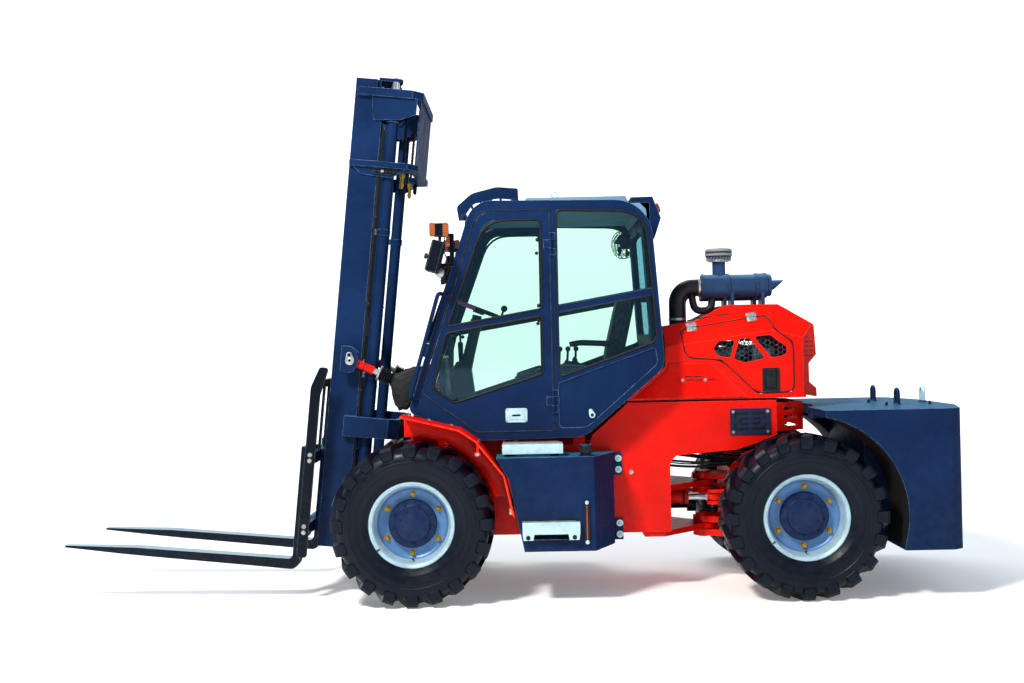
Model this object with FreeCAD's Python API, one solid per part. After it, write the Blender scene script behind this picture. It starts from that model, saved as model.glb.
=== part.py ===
"""Articulated rough terrain forklift, built as the real machine is assembled.

Millimetres. X points forward to the forks, Y to the machine's left, Z up from the ground.
Everything is drawn with X measured from the front axle; save() moves it so that the
origin lies on the ground under the middle of the machine.
"""
import FreeCAD, Part
import math
import os
from FreeCAD import Placement, Rotation, Vector

# ---------------------------------------------------------------- driving dimensions
ORIGIN_TO_FRONT_AXLE = 659.4   # the front axle stands this far ahead of the origin
WHEELBASE = 2575.0
TYRE_RADIUS = 540.0
TYRE_HALF_WIDTH = 205.0
TRACK_HALF = 770.0             # centre of a wheel from the middle of the machine
RIM_RADIUS = 284.0

HINGE_X = -2020.0              # vertical pivot between the front and rear frames
HINGE_PIN_RADIUS = 38.0
UPPER_EAR_Z = (672.0, 712.0)   # the front frame's two hinge ears
LOWER_EAR_Z = (365.0, 405.0)
REAR_EAR_THICKNESS = 42.0
EAR_GAP = 8.0

BODY_HALF = 450.0              # outside of the chassis plates and of the hood
PLATE = 16.0
SEAM_Z = 1290.0                # joint between the chassis plates and the hood
SKIRT_END_X = -2479.0
SKIRT_REAR_X = -2690.0
SKIRT_REAR_HALF = 300.0

CAB_HALF = 650.0
CAB_WALL = 60.0
CAB_INNER = CAB_HALF - CAB_WALL
DOOR_GAP = 6.0
DOOR_HINGE_X = -947.0          # the doors' upright hinge line at the rear pillar
DOOR_HINGE_Y = 664.0
DOOR_HINGE_Z = (1246.0, 2304.0)
GLASS = 8.0

MAST_FOOT = Vector(470.0, 0.0, 520.0)   # mast dimensions are taken from this point
MAST_LEAN = 6.0                # degrees that the parked mast leans back
MAST_PIVOT_U = -70.0           # tilt axis behind the mast foot, along the mast's own u
OUTER_RAIL_TOP = 2990.0
OUTER_RAIL_FOOT = -190.0
OUTER_RAIL_OUTSIDE = 470.0
INNER_RAIL_OUTSIDE = 444.0
INNER_RAIL_TOP = 3045.0
INNER_RAIL_FOOT = -125.0
LIFT_CYLINDER_U = -62.0
LIFT_CYLINDER_Y = 420.0
SHEAVE_CENTRE = (-30.0, 2880.0)
SHEAVE_RADIUS = 115.0
CHAIN_Y = 300.0
CHAIN_THICKNESS = 14.0
CARRIAGE_HALF = 640.0
FORK_Y = 440.0
FORK_HALF_WIDTH = 62.0
FORK_THICKNESS = 51.0
FORK_TIP_U = 1945.0

TILT_PIVOT = Vector(-75.0, 520.0, 1382.0)   # trunnion of the tilt cylinder
TILT_EYE = Vector(432.0, 520.0, 1621.0)     # its rod's eye on the mast
STEER_ANCHOR = Vector(-1420.0, 190.0, 607.0)
STEER_EYE = Vector(-2080.0, 200.0, 607.0)

COUNTERWEIGHT_HALF = 950.0
COUNTERWEIGHT_TOP = 1235.0
COUNTERWEIGHT_BOTTOM = 320.0
COUNTERWEIGHT_FRONT_X = -2705.0
HOOD_SWING = 790.0             # radius that the counterweight's front keeps about the hinge
REAR_AXLE_X = -WHEELBASE

ENGINE_HINGE_START = Vector(-1917.0, 370.0, 1812.0)   # hinge line of the left engine door
ENGINE_HINGE_LINE = Vector(-416.0, 0.0, 61.0).normalize()
ENGINE_HINGE_X = (-1917.0, -2333.0)
HOOD_FACET = Vector(0.0879, 0.7952, 0.5999)             # outward normal of the hood's upper facet

UP = Vector(0, 0, 1)
LEFT = Vector(0, 1, 0)
FORWARD = Vector(1, 0, 0)


# ---------------------------------------------------------------- shape helpers
def corner_arc(before, corner, after, radius):
    """Start, middle and end of the arc that rounds a corner."""
    to_before = (before - corner).normalize()
    to_after = (after - corner).normalize()
    half = to_before.getAngle(to_after) / 2
    inward = (to_before + to_after).normalize()
    centre = corner + inward * (radius / math.sin(half))
    reach = radius / math.tan(half)
    return corner + to_before * reach, centre - inward * radius, corner + to_after * reach


def outline(corners, place):
    """Closed wire through (a, b) corners, rounded where a corner is (a, b, radius)."""
    points = [place(corner[0], corner[1]) for corner in corners]
    count = len(points)
    runs = []
    for i in range(count):
        if len(corners[i]) == 3:
            runs.append(corner_arc(points[i - 1], points[i], points[(i + 1) % count], corners[i][2]))
        else:
            runs.append((points[i],))
    edges = []
    for i in range(count):
        run = runs[i]
        if len(run) == 3:
            edges.append(Part.Arc(*run).toShape())
        following = runs[(i + 1) % count][0]
        if run[-1].distanceToPoint(following) > 0.01:
            edges.append(Part.makeLine(run[-1], following))
    return Part.Wire(edges)


def extruded(wire, travel):
    """Solid swept by the face inside a closed wire, with its faces pointing outward."""
    shape = Part.Face(wire).extrude(travel)
    if shape.Volume < 0:
        shape.reverse()
    return shape


def side_plate(corners, y_from, y_to):
    """Outline in the side view (x, z), as thick as y_from to y_to."""
    wire = outline(corners, lambda x, z: Vector(x, y_from, z))
    return extruded(wire, Vector(0, y_to - y_from, 0))


def flat_plate(corners, z_from, z_to):
    """Outline in the plan (x, y), as thick as z_from to z_to."""
    wire = outline(corners, lambda x, y: Vector(x, y, z_from))
    return extruded(wire, Vector(0, 0, z_to - z_from))


def cross_plate(corners, x_from, x_to):
    """Outline in the front view (y, z), as thick as x_from to x_to."""
    wire = outline(corners, lambda y, z: Vector(x_from, y, z))
    return extruded(wire, Vector(x_to - x_from, 0, 0))


def block(x_from, x_to, y_from, y_to, z_from, z_to):
    size = (abs(x_to - x_from), abs(y_to - y_from), abs(z_to - z_from))
    corner = Vector(min(x_from, x_to), min(y_from, y_to), min(z_from, z_to))
    return Part.makeBox(*size, corner)


def rod(start, end, radius):
    return Part.makeCylinder(radius, start.distanceToPoint(end), start, end - start)


def tube(start, end, radius, bore):
    return rod(start, end, radius).cut(rod(start, end, bore))


def across(x, z, radius, y_from, y_to):
    """Round bar along Y."""
    return rod(Vector(x, y_from, z), Vector(x, y_to, z), radius)


def upright(x, y, radius, z_from, z_to):
    """Round bar along Z."""
    return rod(Vector(x, y, z_from), Vector(x, y, z_to), radius)


def fuse(shapes):
    return shapes[0].multiFuse(shapes[1:]).removeSplitter()


def mirrored(shape):
    return shape.mirror(Vector(0, 0, 0), LEFT)


def both_sides(shape):
    return [shape, mirrored(shape)]


def turned(corners, centre, axis):
    """Solid of revolution: corners are (radius, distance along the axis)."""
    side = axis.cross(UP) if abs(axis.dot(UP)) < 0.9 else FORWARD
    side = Vector(side).normalize()
    wire = outline(corners, lambda r, a: centre + side * r + axis * a)
    return Part.Face(wire).revolve(centre, axis, 360)


def bent_bar(points, bends, radius):
    """Round bar through points, with a tangent arc of the given radius at each inner point."""
    edges = []
    start = points[0]
    for i in range(1, len(points) - 1):
        arc = corner_arc(points[i - 1], points[i], points[i + 1], bends[i - 1])
        edges.append(Part.makeLine(start, arc[0]))
        edges.append(Part.Arc(*arc).toShape())
        start = arc[2]
    edges.append(Part.makeLine(start, points[-1]))
    path = Part.Wire(edges)
    section = Part.Wire(Part.makeCircle(radius, points[0], points[1] - points[0]))
    return path.makePipeShell([section], True, False)


def beyond_plane(a, b, c):
    """Large solid on the side of the plane a-b-c that its normal points to."""
    normal = (b - a).cross(c - a).normalize()
    turn = Rotation(UP, normal)
    slab = Part.makeBox(4000, 4000, 2000, Vector(-2000, -2000, 0))
    slab.Placement = Placement(a, turn)
    return slab


def on_mast(shape):
    """Place a shape drawn in mast dimensions (u forward, y, w up the rails)."""
    placed = shape.copy()
    placed.Placement = Placement(MAST_FOOT, Rotation(LEFT, -MAST_LEAN)).multiply(placed.Placement)
    return placed


def save(name, shapes):
    """Write one sub-part, moved from front-axle dimensions to the machine's origin."""
    parts = shapes if isinstance(shapes, list) else [shapes]
    whole = parts[0] if len(parts) == 1 else Part.makeCompound(parts)
    whole = whole.copy()
    whole.translate(Vector(ORIGIN_TO_FRONT_AXLE, 0, 0))
    whole.exportStep("parts/" + name + ".step")


# ---------------------------------------------------------------- wheels
def tyre(x, y):
    half = TYRE_HALF_WIDTH
    section = [(RIM_RADIUS, -half + 50), (345, -half + 5, 50), (470, -half, 70), (TYRE_RADIUS, -half + 40, 34),
               (TYRE_RADIUS, half - 40, 34), (470, half, 70), (345, half - 5, 50), (RIM_RADIUS, half - 50)]
    return turned(section, Vector(x, y, TYRE_RADIUS), LEFT)


def rim(x, y, outward):
    """Welded rim, its dished disc and the planetary hub cover, in one piece."""
    section = [(RIM_RADIUS, -155), (RIM_RADIUS, 158), (268, 162), (256, 150), (246, 66, 14), (172, 52),
               (161, 62, 4), (157, 104, 10), (120, 110), (113, 126, 6), (0, 126), (0, -138), (118, -138),
               (140, -90), (140, 20), (225, 34), (262, -155)]
    return turned(section, Vector(x, y, TYRE_RADIUS), LEFT * outward)


def wheels():
    for end, x in (("front", 0.0), ("rear", REAR_AXLE_X)):
        for side, outward in (("left", 1), ("right", -1)):
            y = TRACK_HALF * outward
            save(end + "_" + side + "_tyre", tyre(x, y))
            save(end + "_" + side + "_rim", rim(x, y, outward))


def axle(x):
    """Drive axle: differential, tubes, brake housings and the pads that it is bolted by."""
    centre = Vector(x, 0, TYRE_RADIUS)
    bulge = turned([(0, -190), (95, -190, 20), (190, -60, 60), (190, 60, 60), (95, 190, 20), (0, 190)],
                   centre, LEFT)
    tubes = across(x, TYRE_RADIUS, 72, -560, 560)
    drums = [across(x, TYRE_RADIUS, 150, s * 536, s * 628) for s in (-1, 1)]
    nose = rod(centre, centre + FORWARD * 300, 78)
    if x == 0.0:
        nose = mirrored(rod(centre, centre - FORWARD * 300, 78))
    return [bulge, tubes, nose] + drums


# ---------------------------------------------------------------- front frame
def chassis_side():
    """One laser-cut plate from the mast ears back past the hinge, with its folded rear corner."""
    edge = [(270, 470), (270, 960, 40), (120, 1010, 60), (-1190, 1010), (-1215, 1075, 30), (-1462, SEAM_Z),
            (SKIRT_END_X, SEAM_Z), (SKIRT_END_X, 1052), (-2383, 1010, 80), (-2202, 954, 300),
            (-1783, 922, 60), (-1743, 870, 40), (-1743, 400), (-470, 400, 60), (-330, 640, 60),
            (170, 640, 50), (215, 470, 30)]
    return side_plate(edge, BODY_HALF - PLATE, BODY_HALF)


def skirt_corner():
    """Folded rear corner of the skirt, with its three cooling slots."""
    face = [(SKIRT_END_X, BODY_HALF), (SKIRT_REAR_X, SKIRT_REAR_HALF), (SKIRT_REAR_X, SKIRT_REAR_HALF - 20),
            (SKIRT_END_X, BODY_HALF - 20)]
    corner = flat_plate(face, 1075, SEAM_Z - 20)
    lean = math.degrees(math.atan2(BODY_HALF - SKIRT_REAR_HALF, SKIRT_END_X - SKIRT_REAR_X))
    for z in (1118, 1172, 1226):
        slot = block(-62, 62, -60, 60, -12, 12)
        middle = Vector((SKIRT_END_X + SKIRT_REAR_X) / 2, (BODY_HALF + SKIRT_REAR_HALF) / 2 - 10, z)
        slot.Placement = Placement(middle, Rotation(UP, lean))
        corner = corner.cut(slot)
    return corner


def hinge_ear(half_root, x_root, x_step, radius, z_from, z_to):
    """Tapered plate that ends in a round boss at the hinge."""
    plate = flat_plate([(x_root, -half_root), (x_root, half_root), (x_step, half_root), (HINGE_X, radius),
                        (HINGE_X, -radius), (x_step, -half_root)], z_from, z_to)
    return fuse([plate, upright(HINGE_X, 0, radius, z_from, z_to)])


def front_chassis():
    """Welded frame, kept as its separate plates and beams, each of which only touches its neighbours."""
    inner = BODY_HALF - PLATE
    skirt_back = block(SKIRT_REAR_X, SKIRT_REAR_X + PLATE, -SKIRT_REAR_HALF, SKIRT_REAR_HALF, 1100, SEAM_Z - 20)
    pieces = both_sides(chassis_side()) + [fuse(both_sides(skirt_corner()) + [skirt_back])]
    pieces.append(block(240, 270, -inner, inner, 470, 900))
    pieces.append(block(-200, -160, -inner, inner, 780, 1000))
    pieces.append(block(-700, -660, -inner, inner, 640, 1000))
    rear_plate = block(-1240, -1200, -inner, inner, 440, 1000)
    pieces.append(rear_plate.cut(rod(Vector(-1300, 0, TYRE_RADIUS), Vector(-1100, 0, TYRE_RADIUS), 70)))
    pieces.append(block(-1900, -1840, -inner, inner, 980, 1040))
    pieces.append(block(-2380, -2320, -inner, inner, 1010, 1040))
    for x in (-520, -1120):
        pieces += both_sides(block(x - 40, x + 40, 330, inner, 990, 1078))
    for z_from, z_to in (UPPER_EAR_Z, LOWER_EAR_Z):
        ear = hinge_ear(inner, -1560, -1700, 80, z_from, z_to)
        pieces.append(ear.cut(upright(HINGE_X, 0, HINGE_PIN_RADIUS + 1, z_from - 1, z_to + 1)))
    for side in (-1, 1):
        pieces.append(mast_ear(side))
        pieces += steering_anchor(side)
    return pieces + both_sides(tilt_tower())


def mast_ear(side):
    """Ear on the front cross plate that takes one of the mast's pivot pins."""
    pivot = mast_point(MAST_PIVOT_U, 0)
    arm = side_plate([(270, pivot.z - 42), (270, pivot.z + 192), (pivot.x, pivot.z + 47),
                      (pivot.x, pivot.z - 47)], side * 310, side * 345)
    ear = fuse([arm, across(pivot.x, pivot.z, 47, side * 310, side * 345)])
    return ear.cut(across(pivot.x, pivot.z, 27, side * 300, side * 350))


def mast_point(u, w):
    lean = math.radians(MAST_LEAN)
    return MAST_FOOT + Vector(u * math.cos(lean) - w * math.sin(lean), 0, u * math.sin(lean) + w * math.cos(lean))


def steering_anchor(side):
    """Cross beam brackets that hold the front eye of a steering cylinder."""
    at = STEER_ANCHOR
    plates = []
    for z_from in (at.z - 52, at.z + 32):
        plates.append(block(-1240, at.x, side * (at.y - 50), side * (at.y + 50), z_from, z_from + 20))
        plates.append(upright(at.x, side * at.y, 50, z_from, z_from + 20))
    pin = upright(at.x, side * at.y, 20, at.z - 52, at.z + 52)
    return [fuse(plates + [pin])]


def tilt_tower():
    """Pair of uprights beside the tilt cylinder, with its trunnion bearings."""
    x, y, z = TILT_PIVOT
    foot = block(-150, 30, BODY_HALF, 473, 960, 1110)
    shelf = block(-150, 30, BODY_HALF, 583, 1092, 1112)
    cheeks = []
    for y_from, y_to in ((455, 473), (567, 583)):
        cheek = side_plate([(-150, 1100), (30, 1100), (-20, z, 10), (-45, z + 45, 20), (-105, z + 45, 20),
                            (-130, z, 10)], y_from, y_to)
        cheeks.append(cheek)
    tower = fuse([foot, shelf] + cheeks)
    return tower.cut(across(x, z, 23, 440, 600))


def front_axle():
    pads = [block(-110, 110, s * 300, s * 434, 560, 700) for s in (-1, 1)]
    return [fuse(axle(0.0) + pads)]


def driveshaft():
    """Shaft from the front axle back to the joint beside the frame hinge, with its hanger."""
    z = TYRE_RADIUS
    shaft = rod(Vector(-300, 0, z), Vector(-1965, 0, z), 34)
    yokes = [rod(Vector(x, 0, z), Vector(x - 60, 0, z), 58) for x in (-310, -1120, -1905)]
    transfer = block(-1200, -880, -150, 150, 470, 760)
    return [fuse([shaft, transfer] + yokes)]


def front_fender():
    """Folded guard over the wheel. Its outer cheek is cut to a circle that clears the tyre."""
    outer = [(61, 1253), (-322, 1159), (-433, 1084), (-614, 855), (-672, 590)]
    inner = [(-664, 590), (-606, 851), (-427, 1077), (-318, 1151), (62, 1245)]
    skin = side_plate(outer + inner, 656, 960)
    cheek = side_plate(outer + [(-500, 590), (61, 900)], 952, 960)
    cheek = cheek.cut(across(0, TYRE_RADIUS, TYRE_RADIUS + 20, 940, 970))
    stays = [block(-460, -420, BODY_HALF, 952, 985, 1007), block(-668, -640, BODY_HALF, 952, 600, 640)]
    riser = block(-450, -436, 656, 952, 1005, 1078)
    return fuse([skin, cheek, riser] + stays)


def tank(side):
    """Side tank: raked front, cut-back rear corner, bolted flanges and filler neck."""
    profile = [(-560, 966), (-640, 825, 60), (-735, 351), (-1345, 351), (-1345, 966)]
    plan = [(-540, 452), (-540, 920, 20), (-1201, 920, 20), (-1345, 600), (-1345, 452)]
    body = side_plate(profile, 452, 920).common(flat_plate(plan, 340, 970))
    recess = block(-740, -1090, 868, 930, 430, 560)
    body = body.cut(recess)
    tabs = [block(-1345, -1408, 452, 464, z, z + 92) for z in (385, 862)]
    top_tab = block(-1320, -1345, 452, 600, 351, 966)
    neck = upright(-1150, 860, 34, 966, 990)
    cap = upright(-1150, 860, 42, 990, 1042)
    shape = fuse([body, top_tab, neck, cap] + tabs)
    return shape if side > 0 else mirrored(shape)


def side_steps():
    """Galvanised treads: one in the tank's recess and one on top of the tank."""
    lower = block(-742, -1088, 872, 968, 440, 552).cut(block(-752, -1078, 900, 980, 470, 535))
    upper = block(-614, -999, 656, 850, 966, 1056).cut(block(-624, -989, 700, 860, 985, 1040))
    return both_sides(lower) + both_sides(upper)


def engine():
    return block(-1800, -2400, -270, 270, 1041, 1560)


# ---------------------------------------------------------------- hood
def hood_form(inset):
    """Faceted hood as a closed form, drawn smaller all round by the inset."""
    half = BODY_HALF - inset
    silhouette = [(-1455, SEAM_Z + 14), (-1725, 1535), (-1725, 1815), (-1959, 1848), (-2175, 1954), (-2532, 1951),
                  (-2770, 1802), (-2786, 1596), (-2718, 1536), (-2720, 1408), (-2783, 1362), (-2785, SEAM_Z + 14)]
    wire = outline(silhouette, lambda x, z: Vector(x, -half, z))
    if inset:
        wire = wire.makeOffset2D(-inset, 2)
    form = extruded(wire, Vector(0, 2 * half, 0))
    cutters = []
    shoulder = (Vector(-1844, half, 1681), Vector(-2350, 300 - inset, 1954 - inset), Vector(-2458, half, 1771))
    rear_top = (Vector(-2470, half, 1771), Vector(-2532, 300 - inset, 1951 - inset), Vector(-2670, half, 1713))
    rear_side = (Vector(-2670 + inset, half, 1300), Vector(-2670 + inset, half, 1700),
                 Vector(-2786 + inset, 320, 1300))
    for a, b, c in (shoulder, rear_top, rear_side):
        middle = Vector(-2200, 0, 1500)
        cutter = beyond_plane(a, b, c)
        if cutter.isInside(middle, 0.1, True):
            cutter = beyond_plane(a, c, b)
        cutters += [cutter, mirrored(cutter)]
    for cutter in cutters:
        form = form.cut(cutter)
    return form


def hood_skin():
    shell = hood_form(0.0).cut(hood_form(10.0))
    open_bottom = block(-1480, -2770, -430, 430, SEAM_Z, SEAM_Z + 30)
    return shell.cut(open_bottom)


DOOR_OUTLINE = [(-1838, 1786, 20), (-2440, 1876, 40), (-2478, 1772, 60), (-2604, 1690, 60), (-2604, 1345, 40),
                (-2350, 1338, 60), (-2109, 1573, 60), (-1866, 1590, 60)]
WINDOW_OUTLINES = [
    [(-2058, 1650, 12), (-2085, 1600, 12), (-2172, 1585, 14), (-2203, 1706, 14), (-2090, 1700, 30)],
    [(-2196, 1578, 12), (-2265, 1550, 40), (-2410, 1576, 14), (-2306, 1716, 16), (-2238, 1716, 20)],
    [(-2334, 1727, 12), (-2445, 1737, 30), (-2560, 1650, 30), (-2560, 1600, 40), (-2456, 1580, 12)],
]


def grown(corners, gap):
    """The same outline in the side view, offset outward by gap (inward if negative)."""
    wire = outline(corners, lambda x, z: Vector(x, 0, z))
    return wire.makeOffset2D(gap, 2) if gap else wire


def through_left(wire):
    """Prism that passes through the left half only."""
    shape = extruded(wire, Vector(0, 800, 0))
    shape.translate(Vector(0, 60, 0))
    return shape


def hood_and_doors():
    skin = hood_skin()
    opening = through_left(grown(DOOR_OUTLINE, DOOR_GAP / 2))
    flap = skin.common(through_left(grown(DOOR_OUTLINE, -DOOR_GAP / 2)))
    for window in WINDOW_OUTLINES:
        flap = flap.cut(through_left(outline(window, lambda x, z: Vector(x, 0, z))))
    latch = block(-2390, -2505, 430, 460, 1348, 1510)
    flap = flap.cut(latch)
    recess = block(-2382, -2513, 432, 440, 1340, 1518)
    flap = fuse([flap, recess] + [engine_door_hinge(x, True) for x in ENGINE_HINGE_X])
    hood = skin.cut(opening).cut(mirrored(opening))
    hood = hood.cut(upright(-1842, 170, 62, 1700, 2000)).cut(upright(-1905, -170, 48, 1700, 2000))
    hinges = [engine_door_hinge(x, False) for x in ENGINE_HINGE_X]
    hood = fuse([hood] + hinges + [mirrored(hinge) for hinge in hinges])
    save("hood", [solid for solid in hood.Solids])
    save("left_engine_door", flap)
    save("right_engine_door", mirrored(flap))


def engine_door_hinge(x, on_door):
    """Half of a strap hinge on the hood's upper facet: one plate and its share of the knuckles."""
    line = ENGINE_HINGE_START + ENGINE_HINGE_LINE * ((ENGINE_HINGE_START.x - x) / -ENGINE_HINGE_LINE.x)
    down = ENGINE_HINGE_LINE.cross(HOOD_FACET)
    if down.z > 0:
        down = -down
    turn = Rotation(ENGINE_HINGE_LINE, down, ENGINE_HINGE_LINE.cross(down), "XYZ")
    lift = 1 if turn.multVec(UP).dot(HOOD_FACET) > 0 else -1
    if on_door:
        pieces = [block(-33, 33, 19, 40, -10 * lift, -5 * lift), block(-33, 33, 5, 20, -8 * lift, -5 * lift)]
        spans = [(-10, 10)]
    else:
        pieces = [block(-33, 33, -26, -5, -10 * lift, -5 * lift)]
        spans = [(-33, -12), (12, 33)]
    for a, b in spans:
        knuckle = rod(Vector(a, 0, 0), Vector(b, 0, 0), 6.5)
        web = block(a, b, 0, 6 if on_door else -6, -8 * lift, -4 * lift)
        pieces += [knuckle, web]
    shape = fuse(pieces)
    shape.Placement = Placement(line, turn)
    return shape


def air_cleaner():
    """Air filter canister on two saddles, with the pre-cleaner bowl above it."""
    y = 170
    z = 2090
    body = turned([(0, -2014), (84, -2014, 8), (84, -2200), (80, -2206), (80, -2400), (86, -2406), (86, -2470),
                   (78, -2478), (78, -2508, 8), (0, -2508)], Vector(0, y, z), FORWARD)
    neck = upright(-2145, y, 46, z, 2284)
    collar = upright(-2145, y, 68, 2262, 2290)
    bowl = turned([(0, 2288), (84, 2288), (94, 2302, 4), (94, 2348, 14), (0, 2352)], Vector(-2145, y, 0), UP)
    saddles = [block(x, x - 24, y - 70, y + 70, 1955, z) for x in (-2215, -2430)]
    return fuse([body, neck, collar, bowl] + saddles)


def muffler():
    """Silencer beside the filter, fed by an elbow and ending in a slash-cut tailpipe."""
    y = -170
    z = 2075
    can = rod(Vector(-2050, y, z), Vector(-2490, y, z), 80)
    tail = rod(Vector(-2480, y, z + 30), Vector(-2600, y, z + 30), 34)
    slash = side_plate([(-2515, z - 10), (-2620, z - 10), (-2620, z + 81)], y - 50, y + 50)
    tail = tail.cut(slash).cut(rod(Vector(-2500, y, z + 30), Vector(-2620, y, z + 30), 30))
    saddles = [block(x, x - 24, y - 60, y + 60, 1955, z) for x in (-2215, -2430)]
    elbow = bent_bar([Vector(-1905, y, 1790), Vector(-1905, y, z), Vector(-2060, y, z)], [100], 42)
    return fuse([can, tail, elbow] + saddles)


def intake_hose():
    """Rubber hose from the filter forward and down through the hood."""
    y = 170
    route = [Vector(-2014, y, 2086), Vector(-1842, y, 2086), Vector(-1842, y, 1790)]
    return bent_bar(route, [110], 56)


# ---------------------------------------------------------------- cab
CAB_OUTLINE = [(32, 1266, 45), (-425, 1064, 90), (-1153, 1076, 200), (-1705, 1535, 150), (-1622, 2662, 260),
               (-428, 2682, 180)]
DOOR_FRAME = [(-58, 1393, 20), (-428, 1124, 25), (-944, 1124, 12), (-944, 2606, 12), (-462, 2606, 150)]
DOOR_GLASS_UPPER = [(-244, 1838, 14), (-884, 1945, 14), (-884, 2546, 14), (-505, 2546, 120)]
DOOR_GLASS_LOWER = [(-136, 1412, 20), (-288, 1322, 20), (-884, 1508, 14), (-884, 1898, 14), (-230, 1792, 14)]
QUARTER_OPENING = [(-990, 1480, 14), (-1655, 1712, 30), (-1590, 2590, 190), (-990, 2608, 14)]


def in_side_wall(corners):
    return side_plate(corners, CAB_INNER - 5, CAB_HALF + 5)


def cab_side():
    """Side of the cab: tube loop, hinge pillar and lower rear panel."""
    wall = side_plate(CAB_OUTLINE, CAB_INNER, CAB_HALF)
    frame = grown(DOOR_FRAME, DOOR_GAP)
    wall = wall.cut(extruded(frame, Vector(0, 800, 0)))
    wall = wall.cut(in_side_wall(QUARTER_OPENING))
    recess = side_plate([(-985, 1140, 30), (-985, 1440, 20), (-1640, 1670, 20), (-1655, 1560, 60),
                         (-1170, 1140, 100)], CAB_HALF - 8, CAB_HALF + 5)
    pieces = [wall.cut(recess)]
    for z in DOOR_HINGE_Z:
        pieces += hinge_strap(-982, [(0, 45), (105, 150)], z)
    return fuse(pieces)


def hinge_strap(reach, knuckles, z_bottom):
    """Half of a door hinge: strap on the outer face, web out to the hinge line, and its knuckles."""
    pieces = []
    sign = 1 if reach > DOOR_HINGE_X else -1
    face = CAB_HALF - 4 if sign > 0 else CAB_HALF
    for z_from, z_to in knuckles:
        z_from += z_bottom
        z_to += z_bottom
        pieces.append(block(DOOR_HINGE_X, reach, face, face + 6, z_from, z_to))
        pieces.append(block(DOOR_HINGE_X, DOOR_HINGE_X + sign * 9, face, DOOR_HINGE_Y, z_from, z_to))
        pieces.append(upright(DOOR_HINGE_X, DOOR_HINGE_Y, 11, z_from, z_to))
    return pieces


def cab_door():
    """Steel door frame with its two window openings and the mid bar."""
    leaf = side_plate(DOOR_FRAME, CAB_INNER + 4, CAB_HALF - 4)
    for glass in (DOOR_GLASS_UPPER, DOOR_GLASS_LOWER):
        leaf = leaf.cut(in_side_wall(glass))
    hollow = side_plate([(-300, 1270, 20), (-445, 1160, 20), (-910, 1160, 12), (-910, 1440, 20)],
                        CAB_INNER, CAB_HALF - 16)
    pieces = [leaf.cut(hollow)]
    for z in DOOR_HINGE_Z:
        pieces += hinge_strap(-902, [(47, 103)], z)
    return fuse(pieces)


def door_glass():
    y = CAB_HALF - 20
    panes = []
    for glass in (DOOR_GLASS_UPPER, DOOR_GLASS_LOWER):
        panes.append(side_plate(glass, y - GLASS, y))
    return panes


def cab_tub():
    """Floor, recessed front wall, dash shelf and the sloping panel under the seat."""
    half = CAB_INNER - 2
    strip = [(-62, 1640), (-178, 1600), (-178, 1145), (-436, 1078), (-1156, 1078), (-1684, 1524), (-1668, 1540),
             (-1150, 1096), (-440, 1096), (-196, 1160), (-196, 1618), (-70, 1662)]
    floor = side_plate(strip, -half, half)
    hatch = block(-900, -520, -160, 160, 1090, 1104)
    return fuse([floor, hatch])


def cab_rear_wall():
    """Back of the cab with its window opening."""
    half = CAB_INNER - 2
    panel = side_plate([(-1668, 1541), (-1606, 2560), (-1566, 2560), (-1628, 1541)], -half, half)
    window = cross_plate([(-470, 1760, 60), (470, 1760, 60), (470, 2470, 60), (-470, 2470, 60)], -1700, -1540)
    return panel.cut(window)


def cab_roof():
    """Roof pan between the side loops, and the light raised skin on top of it."""
    half = CAB_INNER - 2
    pan = side_plate([(-500, 2600), (-500, 2648), (-1560, 2648), (-1600, 2606), (-1606, 2562), (-1566, 2562),
                      (-1540, 2600)], -half, half)
    skin = side_plate([(-764, 2649), (-790, 2706), (-1470, 2706), (-1496, 2649)], -520, 520)
    return [pan, skin]


def cab_front():
    """Cross members above and below the windscreen, and the grab rails on the pillars."""
    half = CAB_INNER - 2
    header = side_plate([(-500, 2600), (-500, 2648), (-440, 2640, 30), (-392, 2540), (-440, 2530)], -half, half)
    sill = side_plate([(-70, 1664), (-94, 1726), (-120, 1720), (-98, 1655)], -half, half)
    pieces = [header, sill]
    rail = bent_bar([Vector(-250, 636, 2042), Vector(-190, 700, 2064), Vector(16, 700, 1360),
                     Vector(-44, 636, 1342)], [26, 26], 14)
    return pieces + both_sides(rail.cut(cab_side()))


def cab_glass():
    """Windscreen, quarter windows and rear window."""
    half = CAB_INNER - 6
    screen = side_plate([(-96, 1730), (-396, 2536), (-388, 2538), (-88, 1732)], -half, half)
    y = CAB_HALF - 20
    quarter = side_plate(QUARTER_OPENING, y - GLASS, y)
    rear = cross_plate([(-468, 1762, 60), (468, 1762, 60), (468, 2468, 60), (-468, 2468, 60)], -1700, -1500)
    slab = side_plate([(-1650, 1700), (-1600, 2520), (-1592, 2520), (-1642, 1700)], -500, 500)
    return [screen] + both_sides(quarter) + [rear.common(slab)]


def roof_guard():
    """Arched guard over the front of the roof: two curved cheeks and cross bars."""
    cheek = side_plate([(-330, 2560), (-314, 2655, 40), (-420, 2745, 120), (-592, 2786, 160), (-736, 2772, 10),
                        (-740, 2690), (-600, 2706, 120), (-430, 2672, 60), (-376, 2600, 30), (-368, 2560)], 520, 528)
    bars = []
    for x, z in ((-345, 2660), (-400, 2704), (-465, 2738), (-535, 2758), (-605, 2766), (-690, 2760)):
        bars.append(across(x, z, 9, -524, 524))
    feet = [block(-740, -690, 516, 540, 2649, 2700), block(-386, -352, 516, 540, 2560, 2600)]
    return fuse([cheek, mirrored(cheek)] + bars + feet + [mirrored(foot) for foot in feet])


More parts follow.
